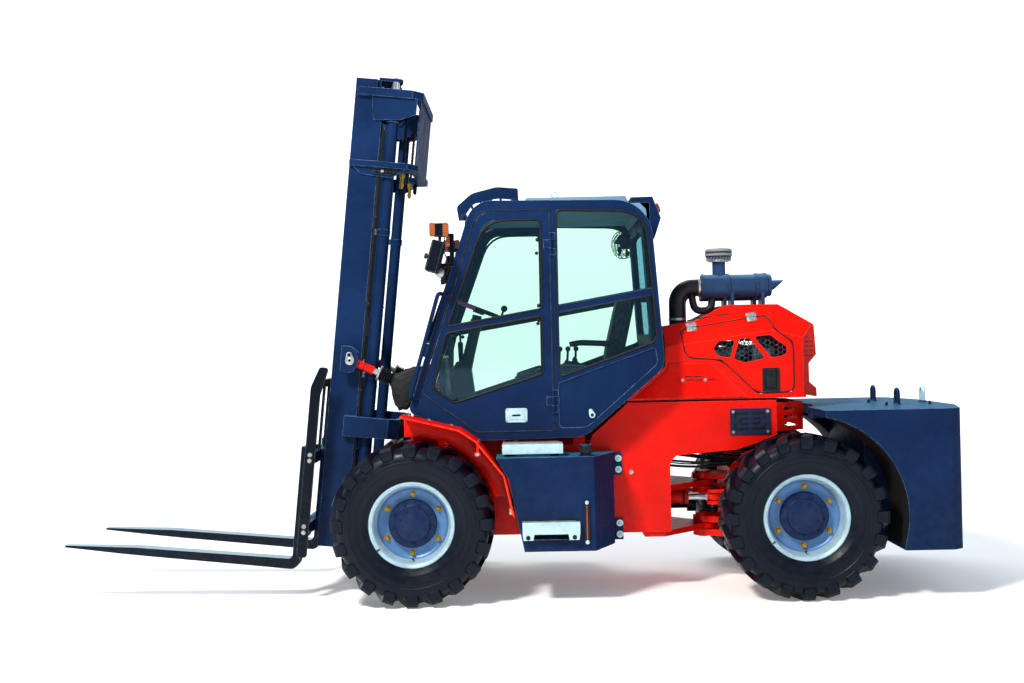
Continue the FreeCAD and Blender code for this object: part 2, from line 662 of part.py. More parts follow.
def rear_light_box():
    """Lamp housing across the top of the cab's back, with two tail lamps."""
    housing = side_plate([(-1500, 2650), (-1500, 2688), (-1647, 2690), (-1702, 2543), (-1656, 2407),
                          (-1618, 2407), (-1627, 2560), (-1625, 2650)], -586, 586)
    lamps = []
    for y in (-480, 480):
        lamp = rod(Vector(-1660, y, 2612), Vector(-1698, y, 2626), 34)
        lamps.append(lamp)
    return fuse([housing] + lamps)


def headlamps():
    """Working lamp and indicator on each front pillar, on one bracket."""
    bracket = fuse([block(-300, -195, 650, 664, 2240, 2262), block(-300, -210, 650, 664, 2440, 2462),
                    block(-215, -195, 650, 664, 2230, 2480), block(-300, -270, 650, 664, 2240, 2462)])
    lamp = block(-34, 34, -95, 95, -105, 105)
    lamp.Placement = Placement(Vector(-180, 760, 2300), Rotation(LEFT, -16))
    stem = block(-215, -180, 664, 700, 2300, 2320)
    signal = block(-150, -262, 672, 752, 2440, 2526)
    stalk = block(-215, -195, 660, 700, 2450, 2470)
    return both_sides(fuse([bracket, lamp, stem, signal, stalk]))


def seat():
    """Suspension seat on its pedestal."""
    base = side_plate([(-1010, 1098), (-1145, 1098), (-1325, 1252), (-1330, 1300), (-1020, 1300)], -210, 210)
    legs = block(-1050, -1310, -180, 180, 1300, 1440)
    cushion = side_plate([(-985, 1440, 10), (-970, 1540, 40), (-1340, 1500, 30), (-1400, 1440, 10)], -250, 250)
    back = side_plate([(-1300, 1490, 20), (-1400, 1470, 30), (-1560, 2080, 60), (-1450, 2110, 40)], -240, 240)
    return fuse([base, legs, cushion, back])


def console():
    """Steering column and the lever box beside the seat."""
    column = rod(Vector(-322, 0, 1534), steering_wheel_centre() - steering_axis() * 42, 34)
    foot = side_plate([(-245, 1148), (-425, 1101), (-370, 1560, 20), (-270, 1600, 20), (-215, 1500)], -70, 70)
    levers = side_plate([(-900, 1100), (-1145, 1100), (-1180, 1130), (-1180, 1560, 20), (-1080, 1580, 20), (-900, 1480, 20)],
                        -430, -290)
    sticks = []
    for i in range(3):
        x = -1130 + 60 * i
        sticks.append(rod(Vector(x, -360, 1500), Vector(x - 10, -360, 1660), 9))
        sticks.append(Part.makeSphere(20, Vector(x - 11, -360, 1668)))
    return [fuse([column, foot]), fuse([levers] + sticks)]


def steering_axis():
    return Vector(math.sin(math.radians(-21.5)), 0, math.cos(math.radians(21.5)))


def steering_wheel_centre():
    return Vector(-437, 0, 1963)


def steering_wheel():
    """Rim, three spokes, hub and the knob for one-handed turning."""
    axis = steering_axis()
    centre = steering_wheel_centre()
    radius = 165
    ring = Part.makeTorus(radius, 14, centre, axis)
    hub = rod(centre - axis * 28, centre + axis * 8, 42)
    flat = Vector(axis.z, 0, -axis.x)
    pieces = [ring, hub]
    for turn in (0, 120, 240):
        spoke = Rotation(axis, turn).multVec(flat)
        pieces.append(rod(centre - axis * 6, centre + spoke * radius, 10))
    knob_foot = centre + Rotation(axis, 180).multVec(flat) * radius
    pieces.append(rod(knob_foot, knob_foot + axis * 62, 8))
    pieces.append(Part.makeSphere(24, knob_foot + axis * 70))
    return fuse(pieces)


# ---------------------------------------------------------------- mast
def channel(u_back, u_front, outside, depth, web, flange, w_from, w_to):
    """Rolled channel open towards the middle of the machine."""
    inside = outside - depth
    corners = [(u_back, inside), (u_back, outside), (u_front, outside), (u_front, inside),
               (u_front - flange, inside), (u_front - flange, outside - web),
               (u_back + flange, outside - web), (u_back + flange, inside)]
    return flat_plate(corners, w_from, w_to)


def wrap(outside, u_front, u_rear, bar, arm, w_from, w_to):
    """Crossmember that wraps behind the rails: two side arms and a rear bar, corners cut."""
    inside = outside - arm
    cut = 70
    corners = [(u_front, outside), (u_rear + cut, outside), (u_rear, outside - cut),
               (u_rear, -outside + cut), (u_rear + cut, -outside), (u_front, -outside),
               (u_front, -inside), (u_rear + cut + 10, -inside), (u_rear + bar, -inside + cut - 10),
               (u_rear + bar, inside - cut + 10), (u_rear + cut + 10, inside), (u_front, inside)]
    return flat_plate(corners, w_from, w_to)


def outer_mast():
    outside = OUTER_RAIL_OUTSIDE
    pieces = both_sides(channel(12, 207, outside, 75, 18, 18, OUTER_RAIL_FOOT, OUTER_RAIL_TOP))
    top = [(60, outside - 18), (60, outside), (207, outside), (207, outside - 75), (189, outside - 75),
           (189, outside - 18)]
    pieces += both_sides(flat_plate(top, OUTER_RAIL_TOP, 3044))
    pieces.append(wrap(500, 187, -262, 57, 30, 2926, 2980))
    pieces.append(wrap(500, 205, -265, 60, 30, 2437, 2477))
    pieces.append(wrap(520, 90, -285, 30, 50, 582, 718))
    pieces.append(block(-250, -238, -430, 430, 2470, 2930))
    gusset = side_plate([(85, 2930), (60, 2761), (-120, 2775), (-225, 2820), (-225, 2930)], 470, 482)
    pieces += both_sides(gusset)
    lower_gusset = side_plate([(190, 2440), (120, 2385), (-90, 2370), (-190, 2440)], 470, 482)
    pieces += both_sides(lower_gusset)
    pieces.append(block(-10, 14, -outside + 15, outside - 15, OUTER_RAIL_FOOT, 160))
    for side in (-1, 1):
        for y_from, y_to in ((284, 304), (351, 371)):
            lug = side_plate([(-5, -85), (-5, 85), (MAST_PIVOT_U, 52), (MAST_PIVOT_U, -52)], side * y_from, side * y_to)
            boss = across(MAST_PIVOT_U, 0, 52, side * y_from, side * y_to)
            pieces += [lug, boss]
        pieces.append(across(MAST_PIVOT_U, 0, 26, side * 276, side * 378))
        pieces.append(block(-108, 14, side * 382, side * 458, OUTER_RAIL_FOOT, -152))
        pieces.append(block(-205, -132, side * (CHAIN_Y - 28), side * (CHAIN_Y + 28), 2437, 2477))
        pieces.append(rod(Vector(-145, side * CHAIN_Y, 2330), Vector(-145, side * CHAIN_Y, 2440), 11))
        pieces += tilt_ear(side)
    return on_mast(fuse(pieces))


def tilt_ear(side):
    """Hooded ear on the rail that takes the tilt cylinder's rod."""
    ear = [(18, 1100), (40, 1172, 20), (86, 1196, 20), (140, 1196, 8), (140, 1030, 20), (96, 1010, 20), (44, 1030, 20)]
    inner = side_plate(ear, side * 468, side * 490)
    outer = side_plate(ear, side * 550, side * 566)
    top = side_plate([(44, 1166), (86, 1190), (140, 1190), (140, 1180), (90, 1180), (50, 1158)],
                     side * 489, side * 551)
    pin = across(77, 1099, 17, side * 480, side * 572)
    return [inner, outer, top, pin]


def lift_cylinders():
    barrel = turned([(40, -152), (40, 2760), (46, 2762), (46, 2836), (30, 2836), (30, -128), (0, -128), (0, -152)],
                    Vector(LIFT_CYLINDER_U, LIFT_CYLINDER_Y, 0), UP)
    return [on_mast(shape) for shape in both_sides(barrel)]


def inner_mast():
    outside = INNER_RAIL_OUTSIDE
    pieces = both_sides(channel(36, 183, outside, 94, 16, 16, INNER_RAIL_FOOT, INNER_RAIL_TOP))
    crosshead = flat_plate([(-108, 444, 20), (52, 444), (52, -444), (-108, -444, 20), (-108, -380),
                            (-70, -250, 30), (-70, 250, 30), (-108, 380)], 3040, 3062)
    pieces.append(crosshead)
    for w_from, w_to in ((2500, 2620), (1280, 1400), (INNER_RAIL_FOOT, 20)):
        pieces.append(block(36, 52, -352, 352, w_from, w_to))
    centre_u, centre_w = SHEAVE_CENTRE
    for side in (-1, 1):
        for y_from, y_to in ((268, 278), (322, 332)):
            pieces.append(side_plate([(centre_u - 50, 3045), (centre_u + 50, 3045), (centre_u + 34, centre_w),
                                      (centre_u, centre_w - 40, 20), (centre_u - 34, centre_w)],
                                     side * y_from, side * y_to))
        pieces.append(across(centre_u, centre_w, 18, side * 268, side * 332))
        pieces.append(sheave(side))
    return on_mast(fuse(pieces))


def sheave(side):
    centre_u, centre_w = SHEAVE_CENTRE
    section = [(10, -20), (SHEAVE_RADIUS + 8, -20), (SHEAVE_RADIUS + 8, -16), (SHEAVE_RADIUS - 8, -15),
               (SHEAVE_RADIUS - 8, 15), (SHEAVE_RADIUS + 8, 16), (SHEAVE_RADIUS + 8, 20), (10, 20)]
    return turned(section, Vector(centre_u, side * CHAIN_Y, centre_w), LEFT)


def lift_rods():
    rods = both_sides(rod(Vector(LIFT_CYLINDER_U, LIFT_CYLINDER_Y, -80),
                          Vector(LIFT_CYLINDER_U, LIFT_CYLINDER_Y, 3039.5), 26))
    return [on_mast(shape) for shape in rods]


def lift_chains():
    """Leaf chains from the carriage over the sheaves to their anchors on the outer mast."""
    centre_u, centre_w = SHEAVE_CENTRE
    bend = SHEAVE_RADIUS
    half = CHAIN_THICKNESS / 2
    hoop = turned([(bend - half, -13), (bend + half, -13), (bend + half, 13), (bend - half, 13)],
                  Vector(centre_u, CHAIN_Y, centre_w), LEFT)
    arc = hoop.common(block(-400, 400, 0, 500, centre_w, centre_w + 400))
    front = block(centre_u + bend - half, centre_u + bend + half, CHAIN_Y - 13, CHAIN_Y + 13, 482, centre_w)
    rear = block(centre_u - bend - half, centre_u - bend + half, CHAIN_Y - 13, CHAIN_Y + 13, 2442 + 40, centre_w)
    chain = fuse([arc, front, rear])
    return [on_mast(shape) for shape in both_sides(chain)]


def carriage():
    """Roller plates that run in the inner rails, and the two fork bars."""
    pieces = []
    for side in (-1, 1):
        pieces.append(side_plate([(70, -110, 30), (70, 470, 30), (255, 470), (255, -110)], side * 320, side * 342))
        for w in (-50, 400):
            pieces.append(across(109.5, w, 52, side * 346, side * 420))
            pieces.append(across(109.5, w, 22, side * 335, side * 350))
        pieces.append(block(centre_front_run() - 16, 120, side * 278, side * 322, 430, 480))
    pieces.append(block(110, 130, -330, 330, 380, 470))
    for w_from, w_to in ((385, 465), (-100, -20)):
        pieces.append(block(250, 311, -CARRIAGE_HALF, CARRIAGE_HALF, w_from, w_to))
    return on_mast(fuse(pieces))


def centre_front_run():
    """Distance u of the chains' front run."""
    return SHEAVE_CENTRE[0] + SHEAVE_RADIUS


def backrest():
    """Load backrest: two side bars that bend back at the top, a top bar and uprights."""
    side_bar = side_plate([(244, -250, 20), (312, -250, 20), (312, 900, 120), (262, 1040, 20), (200, 1040, 20),
                           (244, 850, 120)], CARRIAGE_HALF + 1, CARRIAGE_HALF + 21)
    pieces = both_sides(side_bar)
    pieces.append(block(248, 280, -CARRIAGE_HALF - 2, CARRIAGE_HALF + 2, 900, 950))
    for y in (-420, -210, 0, 210, 420):
        pieces.append(block(248, 263, y - 20, y + 20, 465.5, 902))
    return on_mast(fuse(pieces))


def fork(side):
    """Forged fork: tapered blade, rounded heel, shank and the two hooks over the bars."""
    back = 314
    front = back + FORK_THICKNESS
    blade = [(back, 485, 6), (front, 485, 6), (front, -290, 30), (FORK_TIP_U - 500, -305), (FORK_TIP_U, -338, 5),
             (FORK_TIP_U, -352, 4), (FORK_TIP_U - 600, -358), (back, -360, 60)]
    y = side * FORK_Y
    body = side_plate(blade, y - FORK_HALF_WIDTH, y + FORK_HALF_WIDTH)
    taper = [(200, y - FORK_HALF_WIDTH), (FORK_TIP_U - 420, y - FORK_HALF_WIDTH), (FORK_TIP_U, y - 32, 14),
             (FORK_TIP_U, y + 32, 14), (FORK_TIP_U - 420, y + FORK_HALF_WIDTH), (200, y + FORK_HALF_WIDTH)]
    body = body.common(flat_plate(taper, -400, 600))
    top_hook = side_plate([(270, 471), (270, 500, 8), (340, 500, 10), (340, 471)], y - 55, y + 55)
    low_hook = side_plate([(268, -106), (268, -132, 8), (320, -132), (320, -106)], y - 55, y + 55)
    return on_mast(fuse([body, top_hook, low_hook]))


# ---------------------------------------------------------------- tilt cylinders
def tilt_axis():
    return (TILT_EYE - TILT_PIVOT).normalize()


def tilt_at(distance):
    return TILT_PIVOT + tilt_axis() * distance


def tilt_barrels():
    barrel = rod(tilt_at(-85), tilt_at(235), 40).cut(rod(tilt_at(-70), tilt_at(240), 24))
    trunnions = [across(TILT_PIVOT.x, TILT_PIVOT.z, 22, a, b) for a, b in ((457, 490), (550, 582))]
    return both_sides(fuse([barrel] + trunnions))


def tilt_rods():
    eye_distance = TILT_PIVOT.distanceToPoint(TILT_EYE)
    shank = rod(tilt_at(eye_distance - 545), tilt_at(eye_distance - 160), 20)
    socket = rod(tilt_at(eye_distance - 173), tilt_at(eye_distance - 20), 29)
    eye = across(TILT_EYE.x, TILT_EYE.z, 42, 500, 540)
    ring = tube(tilt_at(339), tilt_at(349), 52, 19)
    shape = fuse([shank, socket, eye, ring]).cut(across(TILT_EYE.x, TILT_EYE.z, 23, 490, 550))
    return both_sides(shape)


def tilt_boots():
    """Bellows between the leather cover and the ring on the rod."""
    section = [(26, 236), (38, 236)]
    folds = 5
    start, end = 236.0, 338.5
    pitch = (end - start) / folds
    for i in range(folds):
        section.append((50, start + pitch * (i + 0.5)))
        section.append((38, start + pitch * (i + 1)))
    section.append((26, end))
    return both_sides(turned(section, TILT_PIVOT, tilt_axis()))


def tilt_covers():
    """Leather bag laced round each tilt cylinder where it enters the cab's front corner."""
    wires = []
    for distance, tall, wide in ((60, 150, 58), (110, 158, 60), (185, 120, 58), (234, 56, 54)):
        centre = tilt_at(distance)
        corners = [(-wide, -tall, wide * 0.8), (wide, -tall, wide * 0.8), (wide, tall, wide * 0.8),
                   (-wide, tall, wide * 0.8)]
        axis = tilt_axis()
        rise = Vector(-axis.z, 0, axis.x)
        wires.append(outline(corners, lambda a, b: centre + LEFT * a + rise * b))
    bag = Part.makeLoft(wires, True, False)
    return both_sides(bag.cut(rod(tilt_at(40), tilt_at(250), 41)))


# ---------------------------------------------------------------- steering cylinders
def steer_axis():
    return (STEER_EYE - STEER_ANCHOR).normalize()


def steer_barrel():
    axis = steer_axis()
    eye = upright(STEER_ANCHOR.x, STEER_ANCHOR.y, 38, STEER_ANCHOR.z - 28, STEER_ANCHOR.z + 28)
    body = rod(STEER_ANCHOR + axis * 58, STEER_ANCHOR + axis * 452, 42)
    neck = rod(STEER_ANCHOR + axis * 25, STEER_ANCHOR + axis * 60, 26)
    gland = rod(STEER_ANCHOR + axis * 420, STEER_ANCHOR + axis * 470, 48)
    bore = rod(STEER_ANCHOR + axis * 74, STEER_ANCHOR + axis * 480, 27)
    shape = fuse([eye, neck, body, gland]).cut(bore)
    return shape.cut(upright(STEER_ANCHOR.x, STEER_ANCHOR.y, 22, STEER_ANCHOR.z - 40, STEER_ANCHOR.z + 40))


def steer_rod():
    axis = steer_axis()
    shaft = rod(STEER_EYE - axis * 455, STEER_EYE, 22)
    socket = rod(STEER_EYE - axis * 62, STEER_EYE, 28)
    eye = upright(STEER_EYE.x, STEER_EYE.y, 38, STEER_EYE.z - 25, STEER_EYE.z + 25)
    return fuse([shaft, socket, eye])


# ---------------------------------------------------------------- rear frame
def rear_chassis():
    """Hinge ears and pins, the two main beams over the axle and the steering brackets."""
    beam = [(-2170, 315), (-2360, 315, 40), (-2440, 690, 60), (-2960, 690), (-3052, 560), (-3052, 880),
            (-2230, 880, 60), (-2170, 820)]
    pieces = both_sides(side_plate(beam, 285, 310))
    front = cross_plate([(-290, 315), (290, 315), (290, 820), (-290, 820)], -2190, -2170)
    pieces.append(front.cut(rod(Vector(-2300, 0, TYRE_RADIUS), Vector(-2100, 0, TYRE_RADIUS), 95)))
    pieces.append(block(-2780, -2740, -290, 290, 740, 880))
    pieces.append(block(-3052, -3012, -290, 290, 600, 880))
    ear = REAR_EAR_THICKNESS
    for low, high in (UPPER_EAR_Z, LOWER_EAR_Z):
        for z_from in (low - EAR_GAP - ear, high + EAR_GAP):
            pieces.append(hinge_ear(150, -2190, -2165, 74, z_from, z_from + ear))
        pieces.append(upright(HINGE_X, 0, HINGE_PIN_RADIUS, low - EAR_GAP - ear - 10, high + EAR_GAP + ear + 10))
        pieces.append(upright(HINGE_X, 0, 54, high + EAR_GAP + ear, high + EAR_GAP + ear + 14))
    for side in (-1, 1):
        for z_from in (STEER_EYE.z - 51, STEER_EYE.z + 31):
            pieces.append(block(-2180, STEER_EYE.x, side * 145, side * 255, z_from, z_from + 20))
            pieces.append(upright(STEER_EYE.x, side * STEER_EYE.y, 55, z_from, z_from + 20))
    return [fuse(pieces)]


def rear_axle():
    pads = [block(REAR_AXLE_X - 110, REAR_AXLE_X + 110, s * 250, s * 284, 560, 760) for s in (-1, 1)]
    bridge = [block(REAR_AXLE_X - 60, REAR_AXLE_X + 60, s * 180, s * 260, 560, 620) for s in (-1, 1)]
    centre = Vector(REAR_AXLE_X, 0, TYRE_RADIUS)
    stub = rod(centre + FORWARD * 290, Vector(-2085, 0, TYRE_RADIUS), 34)
    return [fuse(axle(REAR_AXLE_X) + pads + bridge + [stub])]


def counterweight():
    """Cast rear body: wheel arches, swing relief at the front, lifting eyes and tow clevis."""
    half = COUNTERWEIGHT_HALF
    front = COUNTERWEIGHT_FRONT_X
    plan = [(front, -half), (front, half), (-3519, half, 30), (-3590, 890, 60), (-3700, 430, 200),
            (-3700, -430, 200), (-3590, -890, 60), (-3519, -half, 30)]
    body = flat_plate(plan, COUNTERWEIGHT_BOTTOM, COUNTERWEIGHT_TOP)
    body = body.cut(upright(HINGE_X, 0, HOOD_SWING, 0, 2000))
    for side in (-1, 1):
        arch = across(REAR_AXLE_X, TYRE_RADIUS + 10, 655, side * 520, side * 1000)
        below = block(front + 20, -3202, side * 520, side * 1000, 300, TYRE_RADIUS + 10)
        body = body.cut(arch).cut(below)
    body = body.cut(block(front + 40, -3054, -521, 521, 300, 1165))
    pocket = block(-3800, -3610, -110, 110, 620, 850)
    body = body.cut(pocket)
    clevis = []
    for z_from in (672, 764):
        jaw = flat_plate([(-3590, -90), (-3590, 90), (-3700, 60), (-3760, 50, 30), (-3760, -50, 30), (-3700, -60)],
                         z_from, z_from + 34)
        clevis.append(jaw.cut(upright(-3725, 0, 17, z_from - 5, z_from + 40)))
    body = fuse([body] + clevis)
    return [body] + lifting_eyes()


def lifting_eyes():
    """Three bent-bar eyes on the counterweight's top."""
    eyes = []
    for x, y in ((-3150, 300), (-3420, 0), (-3150, -300)):
        foot = COUNTERWEIGHT_TOP + 0.5
        eyes.append(bent_bar([Vector(x, y - 34, foot), Vector(x, y - 34, foot + 105), Vector(x, y + 34, foot + 105),
                              Vector(x, y + 34, foot)], [33, 33], 13))
    return eyes


def main():
    os.makedirs("parts", exist_ok=True)
    wheels()
    save("front_chassis", front_chassis())
    save("front_axle", front_axle())
    save("driveshaft", driveshaft())
    save("front_fenders", both_sides(front_fender()))
    save("fuel_tank", tank(1))
    save("hydraulic_tank", tank(-1))
    save("side_steps", side_steps())
    save("engine", engine())
    hood_and_doors()
    save("air_cleaner", air_cleaner())
    save("muffler", muffler())
    save("intake_hose", intake_hose())
    save("cab_left_side", cab_side())
    save("cab_right_side", mirrored(cab_side()))
    save("left_door", cab_door())
    save("right_door", mirrored(cab_door()))
    save("left_door_glass", door_glass())
    save("right_door_glass", [mirrored(pane) for pane in door_glass()])
    save("cab_tub", cab_tub())
    save("cab_rear_wall", cab_rear_wall())
    save("cab_roof", cab_roof())
    save("cab_front", cab_front())
    save("cab_glass", cab_glass())
    save("roof_guard", roof_guard())
    save("rear_light_box", rear_light_box())
    save("headlamps", headlamps())
    save("seat", seat())
    save("console", console())
    save("steering_wheel", steering_wheel())
    save("outer_mast", outer_mast())
    save("lift_cylinders", lift_cylinders())
    save("inner_mast", inner_mast())
    save("lift_rods", lift_rods())
    save("lift_chains", lift_chains())
    save("carriage", carriage())
    save("backrest", backrest())
    save("left_fork", fork(1))
    save("right_fork", fork(-1))
    save("tilt_barrels", tilt_barrels())
    save("tilt_rods", tilt_rods())
    save("tilt_boots", tilt_boots())
    save("tilt_covers", tilt_covers())
    save("left_steer_barrel", steer_barrel())
    save("right_steer_barrel", mirrored(steer_barrel()))
    save("left_steer_rod", steer_rod())
    save("right_steer_rod", mirrored(steer_rod()))
    save("rear_chassis", rear_chassis())
    save("rear_axle", rear_axle())
    save("counterweight", counterweight())


main()
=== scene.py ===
# %% [markdown]
# An articulated rough terrain forklift, dressed around its CAD frame.
# The CAD file already has every panel, beam and joint in its place, so this lesson only adds what CAD leaves
# plain: tread on the tyres, bolts, seals, mesh, cushions, hoses, and a finish for every surface.
# Each cell first says what the real piece is and how it is made, and then works the piece out with numpy.

# %% Load the frame and note its box
import math

import bmesh
import bpy
import numpy as np
from mathutils import Matrix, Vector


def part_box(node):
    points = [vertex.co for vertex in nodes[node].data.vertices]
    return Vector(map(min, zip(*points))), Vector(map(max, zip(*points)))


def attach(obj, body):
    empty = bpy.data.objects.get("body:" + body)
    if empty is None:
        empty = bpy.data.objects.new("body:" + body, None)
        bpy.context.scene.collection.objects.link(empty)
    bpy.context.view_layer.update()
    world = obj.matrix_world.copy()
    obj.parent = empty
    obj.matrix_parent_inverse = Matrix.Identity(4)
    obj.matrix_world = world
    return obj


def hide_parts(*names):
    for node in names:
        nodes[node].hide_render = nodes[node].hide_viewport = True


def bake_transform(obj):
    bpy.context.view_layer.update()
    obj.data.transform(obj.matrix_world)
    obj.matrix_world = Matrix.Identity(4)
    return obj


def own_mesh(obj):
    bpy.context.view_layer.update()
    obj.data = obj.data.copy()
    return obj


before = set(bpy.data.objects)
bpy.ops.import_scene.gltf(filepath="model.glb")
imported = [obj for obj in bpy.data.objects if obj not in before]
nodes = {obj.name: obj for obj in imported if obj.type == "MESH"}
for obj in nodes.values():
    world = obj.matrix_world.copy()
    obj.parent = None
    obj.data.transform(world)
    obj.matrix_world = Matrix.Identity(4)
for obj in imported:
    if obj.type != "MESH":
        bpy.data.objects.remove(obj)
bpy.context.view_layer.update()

# %% [markdown]
# The maker's drawings of such a machine give lengths from the front axle, so every piece here is drawn that
# way: millimetres, X forward from the front axle, Y to the machine's left, Z up from the ground. One function
# turns them into the frame's metres, and it reads the axle's place from the frame's own rim.

# %% Millimetres from the front axle
rim_low, rim_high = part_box("front_left_rim")
AXLE_X = (rim_low.x + rim_high.x) / 2
AXLE_Z = (rim_low.z + rim_high.z) / 2 * 1000
REAR_AXLE_X = ((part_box("rear_left_rim")[0].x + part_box("rear_left_rim")[1].x) / 2 - AXLE_X) * 1000
TRACK = 770.0


def metres(points):
    """Millimetres from the front axle, as metres in the frame."""
    return np.asarray(points, float) * 0.001 + np.array([AXLE_X, 0.0, 0.0])


def millimetres(points):
    """Back from the frame's metres."""
    return (np.asarray(points, float) - np.array([AXLE_X, 0.0, 0.0])) * 1000


print("front axle at", round(AXLE_X, 4), "rear axle", round(REAR_AXLE_X, 1),
      "mm from it, height", round(AXLE_Z, 1))

# %% [markdown]
# A shape here is a pair: an array of points, and a list of face tables with one table for each number of
# corners. Shapes are worked out as grids, then joined, mirrored to the other side, and turned into one
# Blender mesh at the end. Keeping them as arrays makes a ring of bolts one line of arithmetic.

# %% Shapes as arrays
ORIGIN, AHEAD, LEFT, UP = (0, 0, 0), (1, 0, 0), (0, 1, 0), (0, 0, 1)


def grid(points, close_u=False, close_v=False):
    """Faces between neighbouring points of a (u, v, 3) grid; a closed direction joins its last row to its
    first."""
    rows, columns = points.shape[:2]
    index = np.arange(rows * columns).reshape(rows, columns)
    if close_u:
        index = np.vstack([index, index[:1]])
    if close_v:
        index = np.hstack([index, index[:, :1]])
    corners = [index[:-1, :-1], index[1:, :-1], index[1:, 1:], index[:-1, 1:]]
    return points.reshape(-1, 3), [np.stack(corners, -1).reshape(-1, 4)]


def joined(shapes):
    """Several shapes as one, with the later ones' face numbers moved up."""
    starts = np.cumsum([0] + [len(points) for points, _ in shapes])
    tables = {}
    for (_, faces), start in zip(shapes, starts):
        for table in faces:
            tables.setdefault(table.shape[1], []).append(table + start)
    return np.vstack([points for points, _ in shapes]), [np.vstack(rows) for rows in tables.values()]


def mirrored(shape):
    """The shape on the machine's other side: Y changes sign, and each face is read the other way round."""
    points, faces = shape
    return points * np.array([1.0, -1.0, 1.0]), [table[:, ::-1] for table in faces]


def as_one(shapes):
    return joined(shapes) if isinstance(shapes, list) else shapes


def both(shape):
    return joined([shape, mirrored(shape)])


def outward(shape):
    """Closed shape with its faces pointing out: the sum of a . (b x c) over its triangles is six times its
    volume, and has to be positive."""
    points, faces = shape
    volume = 0.0
    for table in faces:
        a, b, c = points[table[:, :1]], points[table[:, 1:-1]], points[table[:, 2:]]
        volume += (a * np.cross(b, c)).sum()
    return shape if volume > 0 else (points, [table[:, ::-1] for table in faces])


def basis(axis):
    """Three unit vectors: two across the axis and the axis itself."""
    w = np.asarray(axis, float) / np.linalg.norm(axis)
    helper = np.array([0.0, 0.0, 1.0]) if abs(w[2]) < 0.9 else np.array([1.0, 0.0, 0.0])
    u = np.cross(helper, w)
    u /= np.linalg.norm(u)
    return u, np.cross(w, u), w


# %% [markdown]
# Most hardware is turned, extruded or bent, so three makers cover it: `lathe` turns a profile about an axis,
# `sweep` carries a section along a bent path, and `plate` fills an outline with its holes and gives it
# thickness.

# %% Lathe, sweep and plate
def turns(count):
    """Equal angles once round."""
    return np.arange(count) * 2 * math.pi / count


def circle(radius, steps=14):
    return radius * np.stack([np.cos(turns(steps)), np.sin(turns(steps))], 1)


def at_y(outline, y):
    """Line of the side view, (x, z), as points at Y."""
    return np.insert(np.asarray(outline, float), 1, y, axis=1)


def squarish(t, power):
    """sign(t) |t|^power, which turns the cosines and sines of a circle into those of a soft rectangle."""
    return np.sign(t) * np.abs(t) ** power


def lathe(profile, centre, axis, steps=40, ring=False):
    """Profile of (radius, height) turned about the axis: point = centre + r (cos a U + sin a V) + h W. A
    ring's profile is a closed line that stays away from the axis."""
    u, v, w = basis(axis)
    radius, height = np.asarray(profile, float).T
    around = circle(1.0, steps) @ (u, v)
    centre = np.asarray(centre, float)
    points = centre + radius[None, :, None] * around[:, None, :] + height[None, :, None] * w
    return outward(grid(points, close_u=True, close_v=ring))


def bend(before, corner, after, radius, steps):
    """Quadratic curve in a corner's place: it starts and ends a radius away, or just short of half a side."""
    back, ahead = before - corner, after - corner
    sides = np.linalg.norm(back), np.linalg.norm(ahead)
    reach = min(radius, 0.48 * sides[0], 0.48 * sides[1])
    start, end = corner + back / sides[0] * reach, corner + ahead / sides[1] * reach
    t = np.linspace(0, 1, steps + 1)[:, None]
    return (1 - t) ** 2 * start + 2 * t * (1 - t) * corner + t ** 2 * end


def rounded(corners, radius, steps=5):
    """Bent line: a curve in place of each inner corner."""
    p = np.asarray(corners, float)
    return np.vstack([p[:1], *(bend(*three, radius, steps) for three in zip(p, p[1:], p[2:])), p[-1:]])


def soft_corners(corners, radius, steps=4):
    """Closed outline with a curve in place of each corner; the radius is one number, or one for each
    corner."""
    p = np.asarray(corners, float)
    radii = np.broadcast_to(radius, len(p))
    return np.vstack([bend(p[i - 1], p[i], p[(i + 1) % len(p)], r, steps) for i, r in enumerate(radii)])


def panel(x0, x1, z0, z1, radius, steps=4):
    """Rectangle with soft corners."""
    return soft_corners([(x0, z0), (x1, z0), (x1, z1), (x0, z1)], radius, steps)


def capped(shape, rows, count):
    """A grid's first and last row, of count points each, closed by a flat cap."""
    first = np.arange(count)
    return outward((shape[0], shape[1] + [np.vstack([first[::-1], (rows - 1) * count + first])]))


def sweep(path, section, closed=False, scale=None):
    """Section of (a, b) offsets carried along the path: point = path + a U + b V, with U and V turned as
    little as the path allows; flat caps close an open path."""
    path = np.asarray(path, float)
    tangent = np.gradient(path, axis=0) if not closed else np.roll(path, -1, 0) - np.roll(path, 1, 0)
    tangent /= np.linalg.norm(tangent, axis=1)[:, None]
    u = basis(tangent[0])[0]
    across = []
    for t in tangent:
        u = u - np.dot(u, t) * t
        u /= np.linalg.norm(u)
        across.append(u)
    across = np.array(across)
    up = np.cross(tangent, across)
    size = np.ones(len(path)) if scale is None else np.asarray(scale, float)
    a, b = np.asarray(section, float).T
    offset = a[None, :, None] * across[:, None] + b[None, :, None] * up[:, None]
    shape = grid(path[:, None] + size[:, None, None] * offset, close_u=closed, close_v=True)
    return outward(shape) if closed else capped(shape, len(path), len(a))


def tube(corners, radius, bend=60.0, steps=14):
    return sweep(rounded(corners, bend), circle(radius, steps))


def read(items, field, width=1, kind=float):
    """One field of all items of a Blender collection, as an array with a row for each item."""
    flat = np.zeros(len(items) * width, kind)
    items.foreach_get(field, flat)
    return flat.reshape(-1, width) if width > 1 else flat


